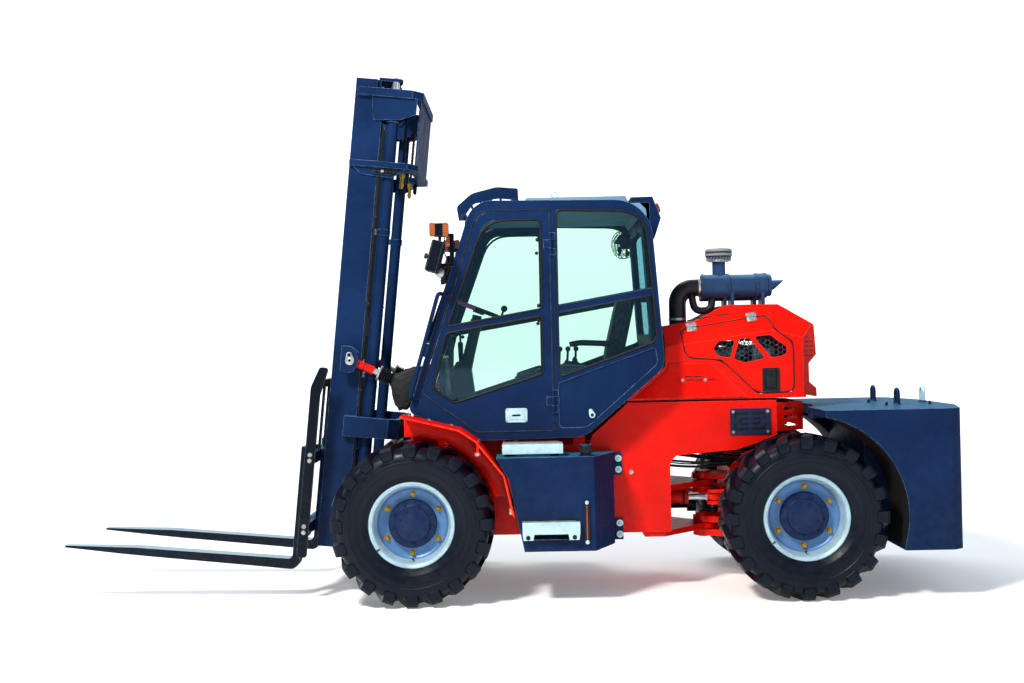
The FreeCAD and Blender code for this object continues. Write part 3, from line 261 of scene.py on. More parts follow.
def plate(outline, thickness, place, holes=(), bevel=0.0):
    """Filled outline with holes, `thickness` deep. place(a, b) gives the point for outline corner (a, b); the
    depth runs along the normal of place's plane. Blender's 2D curve does the filling."""
    curve = bpy.data.curves.new("outline", "CURVE")
    curve.dimensions = "2D"
    curve.fill_mode = "BOTH"
    curve.extrude = max(thickness / 2 - bevel, 0.01)
    curve.bevel_depth = bevel
    curve.bevel_resolution = 1
    curve.offset = -bevel
    for corners in (outline, *holes):
        spline = curve.splines.new("POLY")
        spline.points.add(len(corners) - 1)
        flat = np.zeros((len(corners), 4))
        flat[:, :2] = corners
        flat[:, 3] = 1.0
        spline.points.foreach_set("co", flat.ravel())
        spline.use_cyclic_u = True
    holder = bpy.data.objects.new("outline", curve)
    mesh = bpy.data.meshes.new_from_object(holder)
    flat = read(mesh.vertices, "co", 3)
    corner = read(mesh.loops, "vertex_index", kind=int)
    total, start = (read(mesh.polygons, field, kind=int) for field in ("loop_total", "loop_start"))
    faces = [corner[start[total == n][:, None] + np.arange(n)] for n in np.unique(total)]
    bpy.data.objects.remove(holder)
    bpy.data.curves.remove(curve)
    bpy.data.meshes.remove(mesh)
    origin, along, upward = (np.asarray(place(*ab), float) for ab in ((0, 0), (1, 0), (0, 1)))
    u, v = along - origin, upward - origin
    w = np.cross(u, v)
    w /= np.linalg.norm(w)
    return outward((origin + flat @ (u, v, w), faces))


def side(y):
    """Place for a plate that lies in the side view at Y: corners are (x, z)."""
    return lambda a, b: (a, y, b)


def oblong(x, z, length, height, turn=0.0, steps=6):
    """Slot outline: two half circles joined by straight sides, turned by some degrees."""
    a = np.linspace(-math.pi / 2, math.pi / 2, steps + 1)
    half, r = length / 2 - height / 2, height / 2
    right = np.stack([half + r * np.cos(a), r * np.sin(a)], 1)
    slot = np.vstack([right, -right])
    c, s = math.cos(math.radians(turn)), math.sin(math.radians(turn))
    return slot @ np.array([[c, s], [-s, c]]) + np.array([x, z])


# %% [markdown]
# Bolts are everywhere on such a machine. A hexagon head is a lathe with six steps, on a round washer, and a
# ring or row of them is the same arrays moved to each place at once.

# %% Bolts, and a box with softened edges
def at_places(shape, places):
    """Copies of one shape moved to each place."""
    return joined([(shape[0] + np.asarray(place, float), shape[1]) for place in places])


def bolts(places, radius=9, height=7, axis=LEFT):
    washer = lathe([(0, 0), (radius * 1.35, 0), (radius * 1.35, 1.8), (0, 1.8)], ORIGIN, axis, 18)
    head = lathe([(0, 1.8), (radius, 1.8), (radius, height - 1.5), (radius * 0.86, height), (0, height)],
                 ORIGIN, axis, 6)
    return at_places(joined([washer, head]), places)


def domes(places, radius, height, axis=LEFT):
    """Round screw heads: a quarter circle turned about the axis."""
    a = np.linspace(0, math.pi / 2, 5)
    profile = [(0, 0)] + list(zip(radius * np.cos(a), height * np.sin(a)))
    return at_places(lathe(profile, ORIGIN, axis, 16), places)


def block(x0, x1, y0, y1, z0, z1, bevel=2.0):
    """Box whose long edges are chamfered: an octagon in the side view, as thick as y0 to y1."""
    x0, x1 = sorted((x0, x1))
    z0, z1 = sorted((z0, z1))
    y0, y1 = sorted((y0, y1))
    c = min(bevel, (x1 - x0) / 4, (z1 - z0) / 4)
    outline = [(x0 + c, z0), (x1 - c, z0), (x1, z0 + c), (x1, z1 - c), (x1 - c, z1), (x0 + c, z1),
               (x0, z1 - c), (x0, z0 + c)]
    return plate(outline, y1 - y0, side((y0 + y1) / 2))


# %% [markdown]
# `piece` makes one Blender object from a shape. It welds doubled points at poles and seams, smooths faces
# that meet at a shallow angle, gives the finish, and lets the object ride on its CAD body. A piece that spans
# two bodies is given no body here. `pair` makes the same on both sides of the machine.

# %% One Blender object from a shape
SIDES = (("left", lambda shape: shape), ("right", mirrored))


def piece(name, shapes, material, body="front_frame", sharp=35, slot=None):
    points, faces = as_one(shapes)
    mesh = bpy.data.meshes.new(name)
    mesh.from_pydata(metres(points).tolist(), [], [face for table in faces for face in table.tolist()])
    work = bmesh.new()
    work.from_mesh(mesh)
    bmesh.ops.remove_doubles(work, verts=work.verts, dist=2e-6)
    bmesh.ops.dissolve_degenerate(work, edges=work.edges, dist=1e-6)
    work.to_mesh(mesh)
    work.free()
    mesh.shade_smooth()
    mesh.set_sharp_from_angle(angle=math.radians(sharp))
    mesh.materials.append(material)
    thing = bpy.data.objects.new(name, mesh)
    bpy.context.scene.collection.objects.link(thing)
    if body:
        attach(thing, body)
    return thing


def pair(name, shapes, *rest, **named):
    return piece(name, both(as_one(shapes)), *rest, **named)


# %% [markdown]
# Finishes. Colours are written as sRGB hex, the way a paint chart gives them, and one function turns them
# into the linear values that light is worked out with. Another adds one node with its settings and links.
# Patterns read Object coordinates, which are metres on the machine itself, so every scale below is a real
# size.

# %% Colour and node helpers
def linear(code):
    """sRGB hex to linear: divide by 12.92 near black, else ((c + 0.055) / 1.055) ** 2.4."""
    c = np.array([int(code[i:i + 2], 16) for i in (1, 3, 5)]) / 255
    c = np.where(c <= 0.04045, c / 12.92, ((c + 0.055) / 1.055) ** 2.4)
    return (*c.tolist(), 1.0)


def add(tree, kind, sockets=None, **settings):
    """Adds one node. Settings are its attributes; sockets gives each input a value or another node's
    output."""
    node = tree.nodes.new(kind)
    for key, value in settings.items():
        setattr(node, key, value)
    for key, value in (sockets or {}).items():
        if isinstance(value, bpy.types.NodeSocket):
            tree.links.new(value, node.inputs[key])
        else:
            node.inputs[key].default_value = value
    return node


def finish(name, shader):
    """New material: shader(tree, place) gives the Principled sockets; place is Object coordinates in
    metres."""
    material = bpy.data.materials.new(name)
    material.use_nodes = True
    tree = material.node_tree
    tree.nodes.clear()
    place = add(tree, "ShaderNodeTexCoord").outputs["Object"]
    body = add(tree, "ShaderNodeBsdfPrincipled", shader(tree, place))
    add(tree, "ShaderNodeOutputMaterial", {"Surface": body.outputs["BSDF"]})
    return material


# %% [markdown]
# Three patterns come back in every finish: patches of something that size, dirt lying on a colour in such
# patches, and the fine skin that casting, spraying or moulding leaves.

# %% Patches, dirt and skin
def patches(tree, place, size_mm, low=0.42, high=0.7, least=0.0, most=1.0, detail=4.0):
    """Noise about size_mm across, cut between low and high, giving least outside a patch and most inside
    it."""
    cloud = add(tree, "ShaderNodeTexNoise", {"Vector": place, "Scale": 1000 / size_mm, "Detail": detail,
                                             "Roughness": 0.6})
    return add(tree, "ShaderNodeMapRange", {"Value": cloud.outputs["Fac"], "From Min": low, "From Max": high,
                                            "To Min": least, "To Max": most}).outputs["Result"]


def soiled(tree, place, clean, dirt, size_mm, most):
    """The clean colour, with dirt over it in patches, at most so much."""
    share = patches(tree, place, size_mm, most=most)
    clean = clean if isinstance(clean, bpy.types.NodeSocket) else linear(clean)
    return add(tree, "ShaderNodeMix", {0: share, 6: clean, 7: linear(dirt)}, data_type="RGBA").outputs[2]


def skin(tree, place, grain_mm, depth_mm, strength=0.6, edge_mm=0.0):
    """Relief from fine noise. With edge_mm, the normal under it is rounded over sharp edges by that
    radius."""
    grain = add(tree, "ShaderNodeTexNoise", {"Vector": place, "Scale": 1000 / grain_mm, "Detail": 2.0})
    sockets = {"Height": grain.outputs["Fac"], "Distance": depth_mm * 0.001, "Strength": strength}
    if edge_mm:
        sockets["Normal"] = add(tree, "ShaderNodeBevel", {"Radius": edge_mm * 0.001}, samples=3).outputs[0]
    return add(tree, "ShaderNodeBump", sockets).outputs["Normal"]


# %% [markdown]
# The body colours are two-pack enamel sprayed over primer: a smooth, fairly glossy skin with faint orange
# peel about 3 mm across, slow changes of shade over half a metre, and a film of dust that is thicker near the
# ground. Bent and welded steel has no knife edges, so the shading is rounded over 3 mm. Some colours also get
# a painted sky-blue sheen on faces that look up, and a pale edge colour that is worn paint and a painted edge
# highlight in one. One recipe makes each colour.

# %% Sprayed enamel
def edge_wear_and_highlight_share(tree, place, radius_mm=4.0, most=0.75):
    """How much of the pale edge colour is laid on, worn paint and a painted highlight along the edge in one:
    the normal rounded over an edge turns away from the face's own normal there, and patches 35 mm across keep
    it uneven."""
    soft = add(tree, "ShaderNodeBevel", {"Radius": radius_mm * 0.001}, samples=4).outputs[0]
    own = add(tree, "ShaderNodeNewGeometry").outputs["Normal"]
    turn = add(tree, "ShaderNodeVectorMath", {0: soft, 1: own}, operation="DOT_PRODUCT").outputs["Value"]
    edge = add(tree, "ShaderNodeMapRange", {"Value": turn, "From Min": 0.995, "From Max": 0.9,
                                            "To Max": most}).outputs["Result"]
    return add(tree, "ShaderNodeMath", {0: edge, 1: patches(tree, place, 35, 0.34, 0.6, 0.15)},
               operation="MULTIPLY").outputs[0]


def enamel(name, main, shade, dust, rough, most_dust=0.3, coat=0.2, edge_mm=3.0, edge_wear_and_highlight=None, top=None,
           most_top_sheen=0.5):
    def shader(tree, place):
        drift = patches(tree, place, 420, 0.35, 0.65, detail=2.0)
        colour = add(tree, "ShaderNodeMix", {0: drift, 6: linear(main), 7: linear(shade)},
                     data_type="RGBA").outputs[2]
        height = add(tree, "ShaderNodeSeparateXYZ", {"Vector": place}).outputs["Z"]
        low = add(tree, "ShaderNodeMapRange", {"Value": height, "From Min": 0.25, "From Max": 1.2,
                                               "To Min": most_dust, "To Max": 0.03}).outputs["Result"]
        film = add(tree, "ShaderNodeMath", {0: low, 1: patches(tree, place, 55, 0.4, 0.66)},
                   operation="MULTIPLY").outputs[0]
        dusty = add(tree, "ShaderNodeMix", {0: film, 6: colour, 7: linear(dust)}, data_type="RGBA").outputs[2]
        # Faces that look up are mixed towards the top colour, a pale sky blue: a painted reflection of the
        # sky.
        if top:
            level = add(tree, "ShaderNodeSeparateXYZ",
                        {"Vector": add(tree, "ShaderNodeTexCoord").outputs["Normal"]})
            share = add(tree, "ShaderNodeMapRange", {"Value": level.outputs["Z"], "From Min": 0.55,
                                                     "From Max": 0.98, "To Max": most_top_sheen}).outputs["Result"]
            dusty = add(tree, "ShaderNodeMix", {0: share, 6: dusty, 7: linear(top)},
                        data_type="RGBA").outputs[2]
        # The edge colour is paler than the paint: worn paint together with a painted highlight along the
        # edges.
        if edge_wear_and_highlight:
            dusty = add(tree, "ShaderNodeMix", {0: edge_wear_and_highlight_share(tree, place), 6: dusty, 7: linear(edge_wear_and_highlight)},
                        data_type="RGBA").outputs[2]
        relief = skin(tree, place, 3.2, 0.05, 0.5, edge_mm)
        gloss = patches(tree, place, 130, 0.3, 0.7, rough - 0.1, rough + 0.06)
        return {"Base Color": dusty, "Specular IOR Level": 0.0, "Coat Weight": coat, "Coat Normal": relief,
                "Coat Roughness": gloss, "Normal": relief}
    return finish(name, shader)


# Each top colour below is a painted reflection of the sky on faces that look up.
navy = enamel("navy_enamel", "#0f264b", "#0b1f40", "#33435f", 0.3, 0.16, coat=0.12, edge_wear_and_highlight="#7fa6c6",
              top="#3a7fa6", most_top_sheen=0.42)
red = enamel("red_enamel", "#e61204", "#cb0d03", "#7a3424", 0.28, 0.2, coat=0.22, edge_wear_and_highlight="#ff7a60")
dark_red = enamel("rod_red_enamel", "#d81407", "#bd0f05", "#6a3226", 0.36)
black = enamel("black_enamel", "#070f1b", "#050b14", "#2c3036", 0.36, 0.25, coat=0.18,
               edge_wear_and_highlight="#7d93a6")
fork_black = enamel("worn_fork_enamel_with_painted_sheen", "#070f1b", "#0a1522", "#2c3036", 0.36, 0.25, coat=0.2, edge_wear_and_highlight="#93a9b8",
                    top="#8fa8b8", most_top_sheen=0.8)
# The roof's light grey is tinted blue: a painted reflection of the sky on its top.
grey_roof = enamel("light_grey_enamel", "#7b9cb6", "#6a8ca8", "#8a8880", 0.4, coat=0.1)
filter_blue = enamel("blue_grey_filter_enamel", "#243c60", "#1e3454", "#4c5568", 0.3,
                     coat=0.25, top="#6f97bd")
vent_navy = enamel("dark_navy_enamel", "#1d2842", "#18223a", "#3c4250", 0.36)

# %% [markdown]
# Galvanised steel has crystals called spangle, a patchwork of pale and darker greys about 14 mm across. A
# Voronoi pattern gives each crystal its own grey and its own gloss.

# %% Galvanised, plated and machined steel
def spangle(tree, place):
    cells = add(tree, "ShaderNodeTexVoronoi", {"Vector": place, "Scale": 1000 / 14}).outputs["Color"]
    tone = add(tree, "ShaderNodeSeparateColor", {"Color": cells}).outputs["Red"]
    grey = add(tree, "ShaderNodeMix", {0: tone, 6: linear("#a3a8ab"), 7: linear("#c6cacc")},
               data_type="RGBA").outputs[2]
    gloss = add(tree, "ShaderNodeMapRange", {"Value": tone, "To Min": 0.38, "To Max": 0.56}).outputs["Result"]
    return {"Base Color": soiled(tree, place, grey, "#75756f", 60, 0.45), "Metallic": 0.75,
            "Roughness": gloss, "Normal": skin(tree, place, 9, 0.2, 0.4, 1.5)}


def coated(name, colours, dirt, gloss, relief, metallic=0.0, specular=0.5):
    """Finish from a clean and a dirty colour: dirt is the patches' size and most, gloss says how roughness
    varies in patches, and relief describes the skin."""
    return finish(name, lambda tree, place: {
        "Base Color": soiled(tree, place, *colours, *dirt), "Roughness": patches(tree, place, *gloss),
        "Normal": skin(tree, place, *relief), "Metallic": metallic, "Specular IOR Level": specular})


def plated(name, code, rough, grime="#2b2a28"):
    """Machined and plated steel: faint tool marks 1.5 mm apart, with grime in patches."""
    return coated(name, (code, grime), (30, 0.5), (12, 0.3, 0.7, rough, rough + 0.16), TOOL_MARKS, 0.92)


TOOL_MARKS = (1.5, 0.05, 0.4)
CUT = (0.42, 0.7)
galvanised = finish("galvanised_steel", spangle)
# Bright galvanised steel is tinted cyan here: a painted reflection of the sky.
bright_galvanised = coated("bright_galvanised_steel", ("#b9dde6", "#93a4aa"), (40, 0.4),
                           (25, 0.3, 0.7, 0.34, 0.5), (6, 0.1, 0.4, 1.0), 0.5)
zinc = plated("zinc_plated_steel", "#b9bcbd", 0.32)
brass = plated("yellow_passivated_steel", "#b08d3c", 0.34, "#3a2f16")
chain_steel = coated("oiled_chain_steel", ("#14161b", "#07080a"), (30, 0.6),
                     (12, *CUT, 0.35, 0.55), TOOL_MARKS, 0.3, 0.2)
chrome = plated("hard_chrome_rod", "#c9ccd0", 0.12, "#6f7072")
oily_steel = plated("oily_dark_steel", "#2a2c33", 0.42, "#0d0d0e")

# %% [markdown]
# The wheel rims are rolled steel sprayed silver: small flake in the lacquer makes it part metallic, and mud
# dust sits on it. The hubs are cast, so their navy paint has a coarse skin about 4 mm across.

# %% Silver lacquer and painted castings
# The silver is tinted pale blue: a painted reflection of the sky.
silver = coated("silver_lacquer", ("#accbd9", "#647a8a"), (80, 0.45),
                (80, *CUT, 0.36, 0.6), (5, 0.08, 0.5), 0.35)
# The disc is the rim's silver made darker and bluer: painted shade where it sits deep inside the rim, with a
# painted reflection of the sky.
disc_silver_in_painted_shade = coated("disc_silver_with_painted_shade", ("#4a78ac", "#3f536c"), (70, 0.5),
                   (80, *CUT, 0.4, 0.62), (5, 0.1, 0.5), 0.25)
cast_navy = coated("navy_painted_casting", ("#0a1e44", "#26354c"), (60, 0.4), (60, *CUT, 0.4, 0.62), (4, 0.5),
                   specular=0.16)
cast_black = coated("black_painted_casting", ("#070d17", "#22262c"), (60, 0.45), (60, *CUT, 0.42, 0.7),
                    (5, 0.6), specular=0.2)

# %% [markdown]
# Tyre rubber is black with carbon. Here its black is tinted blue, a painted reflection of the sky, with
# lighter blue-grey patches. It scatters light softly, so it is rough with no metal in it. Moulded rubber and
# plastic keep the fine texture of their tool and hold less dust.

# %% Rubber and plastics
# The rubber's blue tint is a painted reflection of the sky.
tread_rubber = coated("tyre_rubber", ("#040c18", "#101b29"), (45, 0.45), (45, *CUT, 0.32, 0.55),
                      (2.5, 0.3, 0.5), specular=0.16)


def moulded(name, clean, dusty, rough, grain_mm, depth_mm, dust=0.3):
    return coated(name, (clean, dusty), (50, dust), (50, *CUT, rough, rough + 0.14), (grain_mm, depth_mm),
                  specular=0.28)


underseal = moulded("matt_black_underseal", "#06070a", "#101218", 0.8, 6.0, 0.6, 0.3)
hose_rubber = moulded("extruded_hose_rubber", "#0b0d11", "#2a2c31", 0.42, 3.0, 0.1, 0.2)
seal_rubber = moulded("window_seal_rubber", "#0d0e11", "#2e3034", 0.5, 2.0, 0.05, 0.15)
black_plastic = moulded("black_moulded_plastic", "#0d0f13", "#313236", 0.42, 1.6, 0.08, 0.2)
grey_plastic = moulded("grey_moulded_plastic", "#7b7c74", "#9a968a", 0.55, 2.0, 0.1)
magenta_plastic = moulded("magenta_moulded_plastic", "#e0509c", "#b04484", 0.38, 2.0, 0.03, 0.2)

# %% [markdown]
# Leather has pores about 5 mm apart in this coarse grade, and soft creases over that. Seat cloth is a plain
# weave: two crossed waves stand for the two thread directions, drawn 4 mm apart, coarser than real so that
# they show.

# %% Leather and seat cloth
def grained_leather(tree, place):
    pores = add(tree, "ShaderNodeTexVoronoi", {"Vector": place, "Scale": 1000 / 5},
                feature="DISTANCE_TO_EDGE").outputs["Distance"]
    grain = add(tree, "ShaderNodeMapRange", {"Value": pores, "From Max": 0.12}).outputs["Result"]
    height = add(tree, "ShaderNodeMath", {0: grain, 1: patches(tree, place, 38, 0.3, 0.7, 0.0, 4.0)},
                 operation="ADD").outputs[0]
    return {"Base Color": soiled(tree, place, "#090b10", "#14181f", 38, 1.0),
            "Roughness": patches(tree, place, 38, 0.3, 0.7, 0.38, 0.56), "Specular IOR Level": 0.22,
            "Normal": add(tree, "ShaderNodeBump", {"Height": height, "Distance": 0.0006,
                                                   "Strength": 0.7}).outputs["Normal"]}


def woven_cloth(tree, place):
    threads = [add(tree, "ShaderNodeTexWave", {"Vector": place, "Scale": 1000 / 4 / (2 * math.pi),
                                               "Distortion": 0.4}, bands_direction=way).outputs["Fac"]
               for way in ("X", "Y")]
    weave = add(tree, "ShaderNodeMath", {0: threads[0], 1: threads[1]}, operation="MULTIPLY").outputs[0]
    colour = add(tree, "ShaderNodeMix", {0: weave, 6: linear("#17181b"), 7: linear("#3a3c43")},
                 data_type="RGBA")
    return {"Base Color": colour.outputs[2], "Roughness": 0.88, "Sheen Weight": 0.25, "Sheen Roughness": 0.4,
            "Normal": add(tree, "ShaderNodeBump", {"Height": weave, "Distance": 0.0005,
                                                   "Strength": 0.7}).outputs["Normal"]}


leather = finish("black_grained_leather", grained_leather)
seat_cloth = finish("woven_seat_cloth", woven_cloth)

# %% [markdown]
# The windows are flat safety glass with a green cast from the iron in it. Clear glass of IOR 1.5 would bend
# the view at both faces of a thin pane and cost much time, so the pane is a mix: mostly a tinted
# transparency, with a mirror coat that grows at a shallow angle by Fresnel's law; the mirror is tinted sky
# blue, a painted reflection of the sky. Lamp lenses are ribbed polycarbonate, 7 mm a rib, and their colour
# darkens across each rib, a painted shade of the ribs.

# %% Glass and lenses
def pane(name, tint, mirror_ior=1.5, haze=0.04, sky="#9fd0f2"):
    material = bpy.data.materials.new(name)
    material.use_nodes = True
    tree = material.node_tree
    tree.nodes.clear()
    clear = add(tree, "ShaderNodeBsdfTransparent", {"Color": linear(tint)})
    # The mirror's sky-blue colour is a painted reflection of the sky.
    mirror = add(tree, "ShaderNodeBsdfGlossy", {"Color": linear(sky), "Roughness": haze})
    share = add(tree, "ShaderNodeFresnel", {"IOR": mirror_ior})
    whole = add(tree, "ShaderNodeMixShader", {0: share.outputs[0], 1: clear.outputs[0], 2: mirror.outputs[0]})
    add(tree, "ShaderNodeOutputMaterial", {"Surface": whole.outputs[0]})
    return material


def lens(name, code, dark, rough=0.16):
    def shader(tree, place):
        ribs = add(tree, "ShaderNodeTexWave", {"Vector": place, "Scale": 1000 / 7 / (2 * math.pi)},
                   bands_direction="Z").outputs["Fac"]
        # Across each rib the colour runs from the lens colour to a darker one: painted shade of the ribs.
        colour = add(tree, "ShaderNodeMix", {0: ribs, 6: linear(dark), 7: linear(code)}, data_type="RGBA")
        relief = add(tree, "ShaderNodeBump", {"Height": ribs, "Distance": 0.0006, "Strength": 0.6})
        return {"Base Color": colour.outputs[2], "Roughness": rough, "Coat Weight": 0.6,
                "Coat Roughness": 0.05, "Normal": relief.outputs["Normal"]}
    return finish(name, shader)


green_glass = pane("green_tinted_safety_glass", "#effdf5")
amber = lens("amber_polycarbonate", "#a85a18", "#743606")
red_lens = lens("red_polycarbonate", "#b01318", "#7d0a10")
oil_red = lens("red_brown_oil_in_glass", "#8a3a30", "#5f1f1a", 0.2)
clear_lens = lens("clear_polycarbonate", "#d3d7dc", "#a9b0b8", 0.08)

# %% [markdown]
# CAD nodes keep their shape and only change finish. The table gives every node its material, and the loop
# swaps it in.

# %% Finishes for the CAD nodes
FINISHES = {
    navy: ("cab_left_side cab_right_side cab_tub cab_rear_wall cab_front left_door right_door outer_mast "
           "inner_mast carriage fuel_tank hydraulic_tank counterweight roof_guard rear_light_box "
           "lift_cylinders").split(),
    red: "front_chassis front_fenders hood left_engine_door right_engine_door rear_chassis".split(),
    cast_black: "front_axle rear_axle engine".split(),
    fork_black: ["left_fork", "right_fork"],
    black: "driveshaft backrest tilt_barrels headlamps".split(),
    filter_blue: "air_cleaner muffler".split(),
    grey_roof: ["cab_roof"],
    galvanised: ["side_steps"],
    chrome: "lift_rods left_steer_rod right_steer_rod".split(),
    dark_red: "tilt_rods left_steer_barrel right_steer_barrel".split(),
    chain_steel: ["lift_chains"],
    hose_rubber: "intake_hose tilt_boots".split(),
    black_plastic: ["console", "steering_wheel"],
    green_glass: "cab_glass left_door_glass right_door_glass".split(),
    leather: ["tilt_covers"],
    seat_cloth: ["seat"],
    silver: "front_left_rim front_right_rim rear_left_rim rear_right_rim".split(),
    tread_rubber: "front_left_tyre front_right_tyre rear_left_tyre rear_right_tyre".split(),
}
for material, names in FINISHES.items():
    for name in names:
        node_materials = nodes[name].data.materials
        node_materials.clear()
        node_materials.append(material)
print("nodes without a finish:", sorted(set(nodes) - {n for names in FINISHES.values() for n in names}))

# %% [markdown]
# The tyres are industrial bias tyres with deep lugs. A press moulds carcass and lugs in one, so they are one
# piece here too: the carcass is a closed profile turned about the axle, and each lug is a block whose section
# is carried from the crown over the shoulder and down the sidewall. Lugs on the two shoulders are half a step
# apart.

# %% Ring copies and one tyre
def ring_copies(shape, centre, count, start=0.0, axis=LEFT):
    """Copies turned about an axis W through centre, the wheel's axle if not told, at equal steps: p cos a +
    (W x p) sin a + W (W . p) (1 - cos a) is p turned by the angle a."""
    p, w = shape[0] - np.asarray(centre, float), np.asarray(axis, float)
    across, level = np.cross(w, p), (p @ w)[:, None] * w
    copies = [p * math.cos(a) + across * math.sin(a) + level * (1 - math.cos(a)) + centre
              for a in start + turns(count)]
    return joined([(points, shape[1]) for points in copies])


CARCASS_HALF = [(509, 0), (508, 70), (503, 132), (489, 168), (466, 188), (440, 198), (420, 200), (416, 203.5),
                (409, 203.5), (405, 200), (372, 199), (345, 193), (330, 188), (324, 188), (318, 182),
                (298, 168), (284, 152)]
LUG_TOP = np.array([(-16, 538), (30, 539.7), (90, 539.7), (150, 538.4), (184, 531), (201, 511), (204, 484),
                    (202, 452)])
LUG_FOOT = np.array([(-10, 500), (30, 502), (88, 500), (140, 494), (166, 482), (178, 470),
                     (186, 458), (190, 442)])
LUG_TOP_HALF = np.array([24, 27, 31, 35, 37, 38, 37, 31])
LUG_LEAD = np.array([0.155, 0.115, 0.06, 0.02, 0.004, 0.0, 0.0, 0.0])
LUGS = 20


def lug(centre, outward_sign):
    """One lug: for each station the ring of four corners is foot, top, top, foot, at angle lead -+ half width
    / r."""
    rows = []
    for (ty, tr), (fy, fr), half, lead in zip(LUG_TOP, LUG_FOOT, LUG_TOP_HALF, LUG_LEAD):
        corners = []
        foot = half + 9
        for y, r, w, way in ((fy, fr, foot, -1), (ty, tr, half, -1), (ty, tr, half, 1), (fy, fr, foot, 1)):
            angle = lead + way * w / r
            corners.append((r * math.cos(angle), outward_sign * y, r * math.sin(angle)))
        rows.append(corners)
    points = np.array(rows) + np.asarray(centre, float)
    return capped(grid(points, close_v=True), len(LUG_TOP), 4)


def tyre(x, y):
    centre = (x, y, AXLE_Z)
    profile = [(r, -h) for r, h in CARCASS_HALF[:0:-1]] + CARCASS_HALF
    parts = [lathe(profile, centre, LEFT, 120, ring=True)]
    for sign, start in ((1, 0.0), (-1, math.pi / LUGS)):
        parts.append(ring_copies(lug(centre, sign), centre, LUGS, start))
    for sign in (1, -1):
        for radius in (366, 392):
            bead = [(radius - 1.2, sign * 198), (radius + 1.2, sign * 198), (radius + 0.8, sign * 200.6),
                    (radius - 0.8, sign * 200.6)]
            parts.append(lathe(bead, centre, LEFT, 96, ring=True))
    return joined(parts)


# %% [markdown]
# The rim is rolled in one piece with a lock ring, and a pressed disc is welded inside. The cast hub comes
# through the disc and carries two rings of bolts. Six cone nuts, passivated yellow, hold the wheel on.

# %% Rim, hub and nuts
RIM_RING = [(283, 146), (284, 154), (279, 160), (271, 161), (266, 156), (262, 157), (256, 152), (252, 140),
            (248, 128), (243, 96), (236, 62), (233, 30), (233, -118), (250, -146), (266, -158), (282, -156),
            (283, -146), (262, -138), (247, -108), (245, 20), (252, 66), (262, 112), (274, 140)]
DISC = [(240, 66), (232, 52), (222, 42), (208, 39), (172, 38), (160, 44), (150, 44), (150, 26),
        (206, 25), (226, 28), (240, 44)]
HUB = [(0, 20), (158, 20), (160, 24), (160, 70), (156, 76), (150, 78), (121, 79), (117, 82), (115, 92),
       (111, 97), (104, 98), (70, 98), (66, 100), (0, 100)]


def wheel(name, x, sign):
    body = name + "_wheel"
    y = sign * TRACK
    centre = (x, y, AXLE_Z)
    out = (0, sign, 0)
    rubber = piece(name + "_lug_tyre", tyre(x, y), tread_rubber, body, 32)
    bevel = rubber.modifiers.new("lug edges", "BEVEL")
    bevel.width = 0.0035
    bevel.segments = 2
    bevel.limit_method = "ANGLE"
    bevel.angle_limit = math.radians(38)
    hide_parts(name + "_tyre")
    rolled = piece(name + "_rolled_rim", lathe(RIM_RING, centre, out, 96, ring=True), silver, body, 40)
    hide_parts(name + "_rim")
    # The disc's darker blue is painted shade of its depth inside the rim.
    piece(name + "_rim_disc", lathe(DISC, centre, out, 96, ring=True), disc_silver_in_painted_shade, body, 40)
    flange_bolts = ring_copies(bolts([(x + 138, y + sign * 77, AXLE_Z)], 10, 11, out), centre, 9, 0.2)
    cover_bolts = ring_copies(bolts([(x + 88, y + sign * 96, AXLE_Z)], 8, 9, out), centre, 8, 0.42)
    piece(name + "_cast_hub", [lathe(HUB, centre, out, 72), flange_bolts, cover_bolts], cast_navy, body, 38)
    nut = lathe([(0, 38), (19, 38), (19, 40), (15, 44), (15, 58), (12, 61), (8, 61), (7, 69), (0, 70)],
                (x + 194, y, AXLE_Z), out, 6)
    washer = lathe([(0, 37), (21, 37), (21, 41), (0, 41)], (x + 194, y, AXLE_Z), out, 24)
    piece(name + "_wheel_nuts", ring_copies(joined([nut, washer]), centre, 6, 0.5), brass, body, 30)
    valve = tube([(x, y + sign * 60, AXLE_Z - 236), (x, y + sign * 105, AXLE_Z - 230),
                  (x + 4, y + sign * 128, AXLE_Z - 222)], 5, 20, 10)
    notch = block(x + 258, x + 281, y + sign * 150, y + sign * 162.5, AXLE_Z - 5, AXLE_Z + 5, 1)
    piece(name + "_valve", [valve, ring_copies(notch, centre, 1, 0.62)], hose_rubber, body)


for end, x in (("front", 0), ("rear", REAR_AXLE_X)):
    for word, sign in (("left", 1), ("right", -1)):
        wheel(end + "_" + word, x, sign)

# %% [markdown]
# The hood is folded and pressed sheet. Its side is upright, then leans in over a shoulder facet, so anything
# that sits on it needs the skin's place at each point: the nearer of the upright plane and the leaning one.

# %% Where the hood's skin is
SIDE = 450.0
SHOULDER = np.array([(-1844, SIDE, 1681), (-2350, 300, 1954), (-2458, SIDE, 1771)], float)
FACET = np.cross(SHOULDER[1] - SHOULDER[0], SHOULDER[2] - SHOULDER[0])
FACET *= np.sign(FACET[1]) / np.linalg.norm(FACET)
DOOR_LINE = [(-1838, 1786), (-2440, 1876), (-2478, 1772), (-2604, 1690), (-2604, 1345), (-2350, 1338),
             (-2109, 1573), (-1866, 1590)]


def on_hood(x, z, lift=0.0):
    """Point on the hood's left side, lift mm proud: y is the lower of the two planes."""
    x, z = np.asarray(x, float), np.asarray(z, float)
    leaning = (FACET @ SHOULDER[0] - FACET[0] * x - FACET[2] * z) / FACET[1]
    return np.stack([x, np.minimum(SIDE, leaning) + lift, z], -1)


print("shoulder facet leans", round(math.degrees(math.asin(FACET[2]))), "degrees")

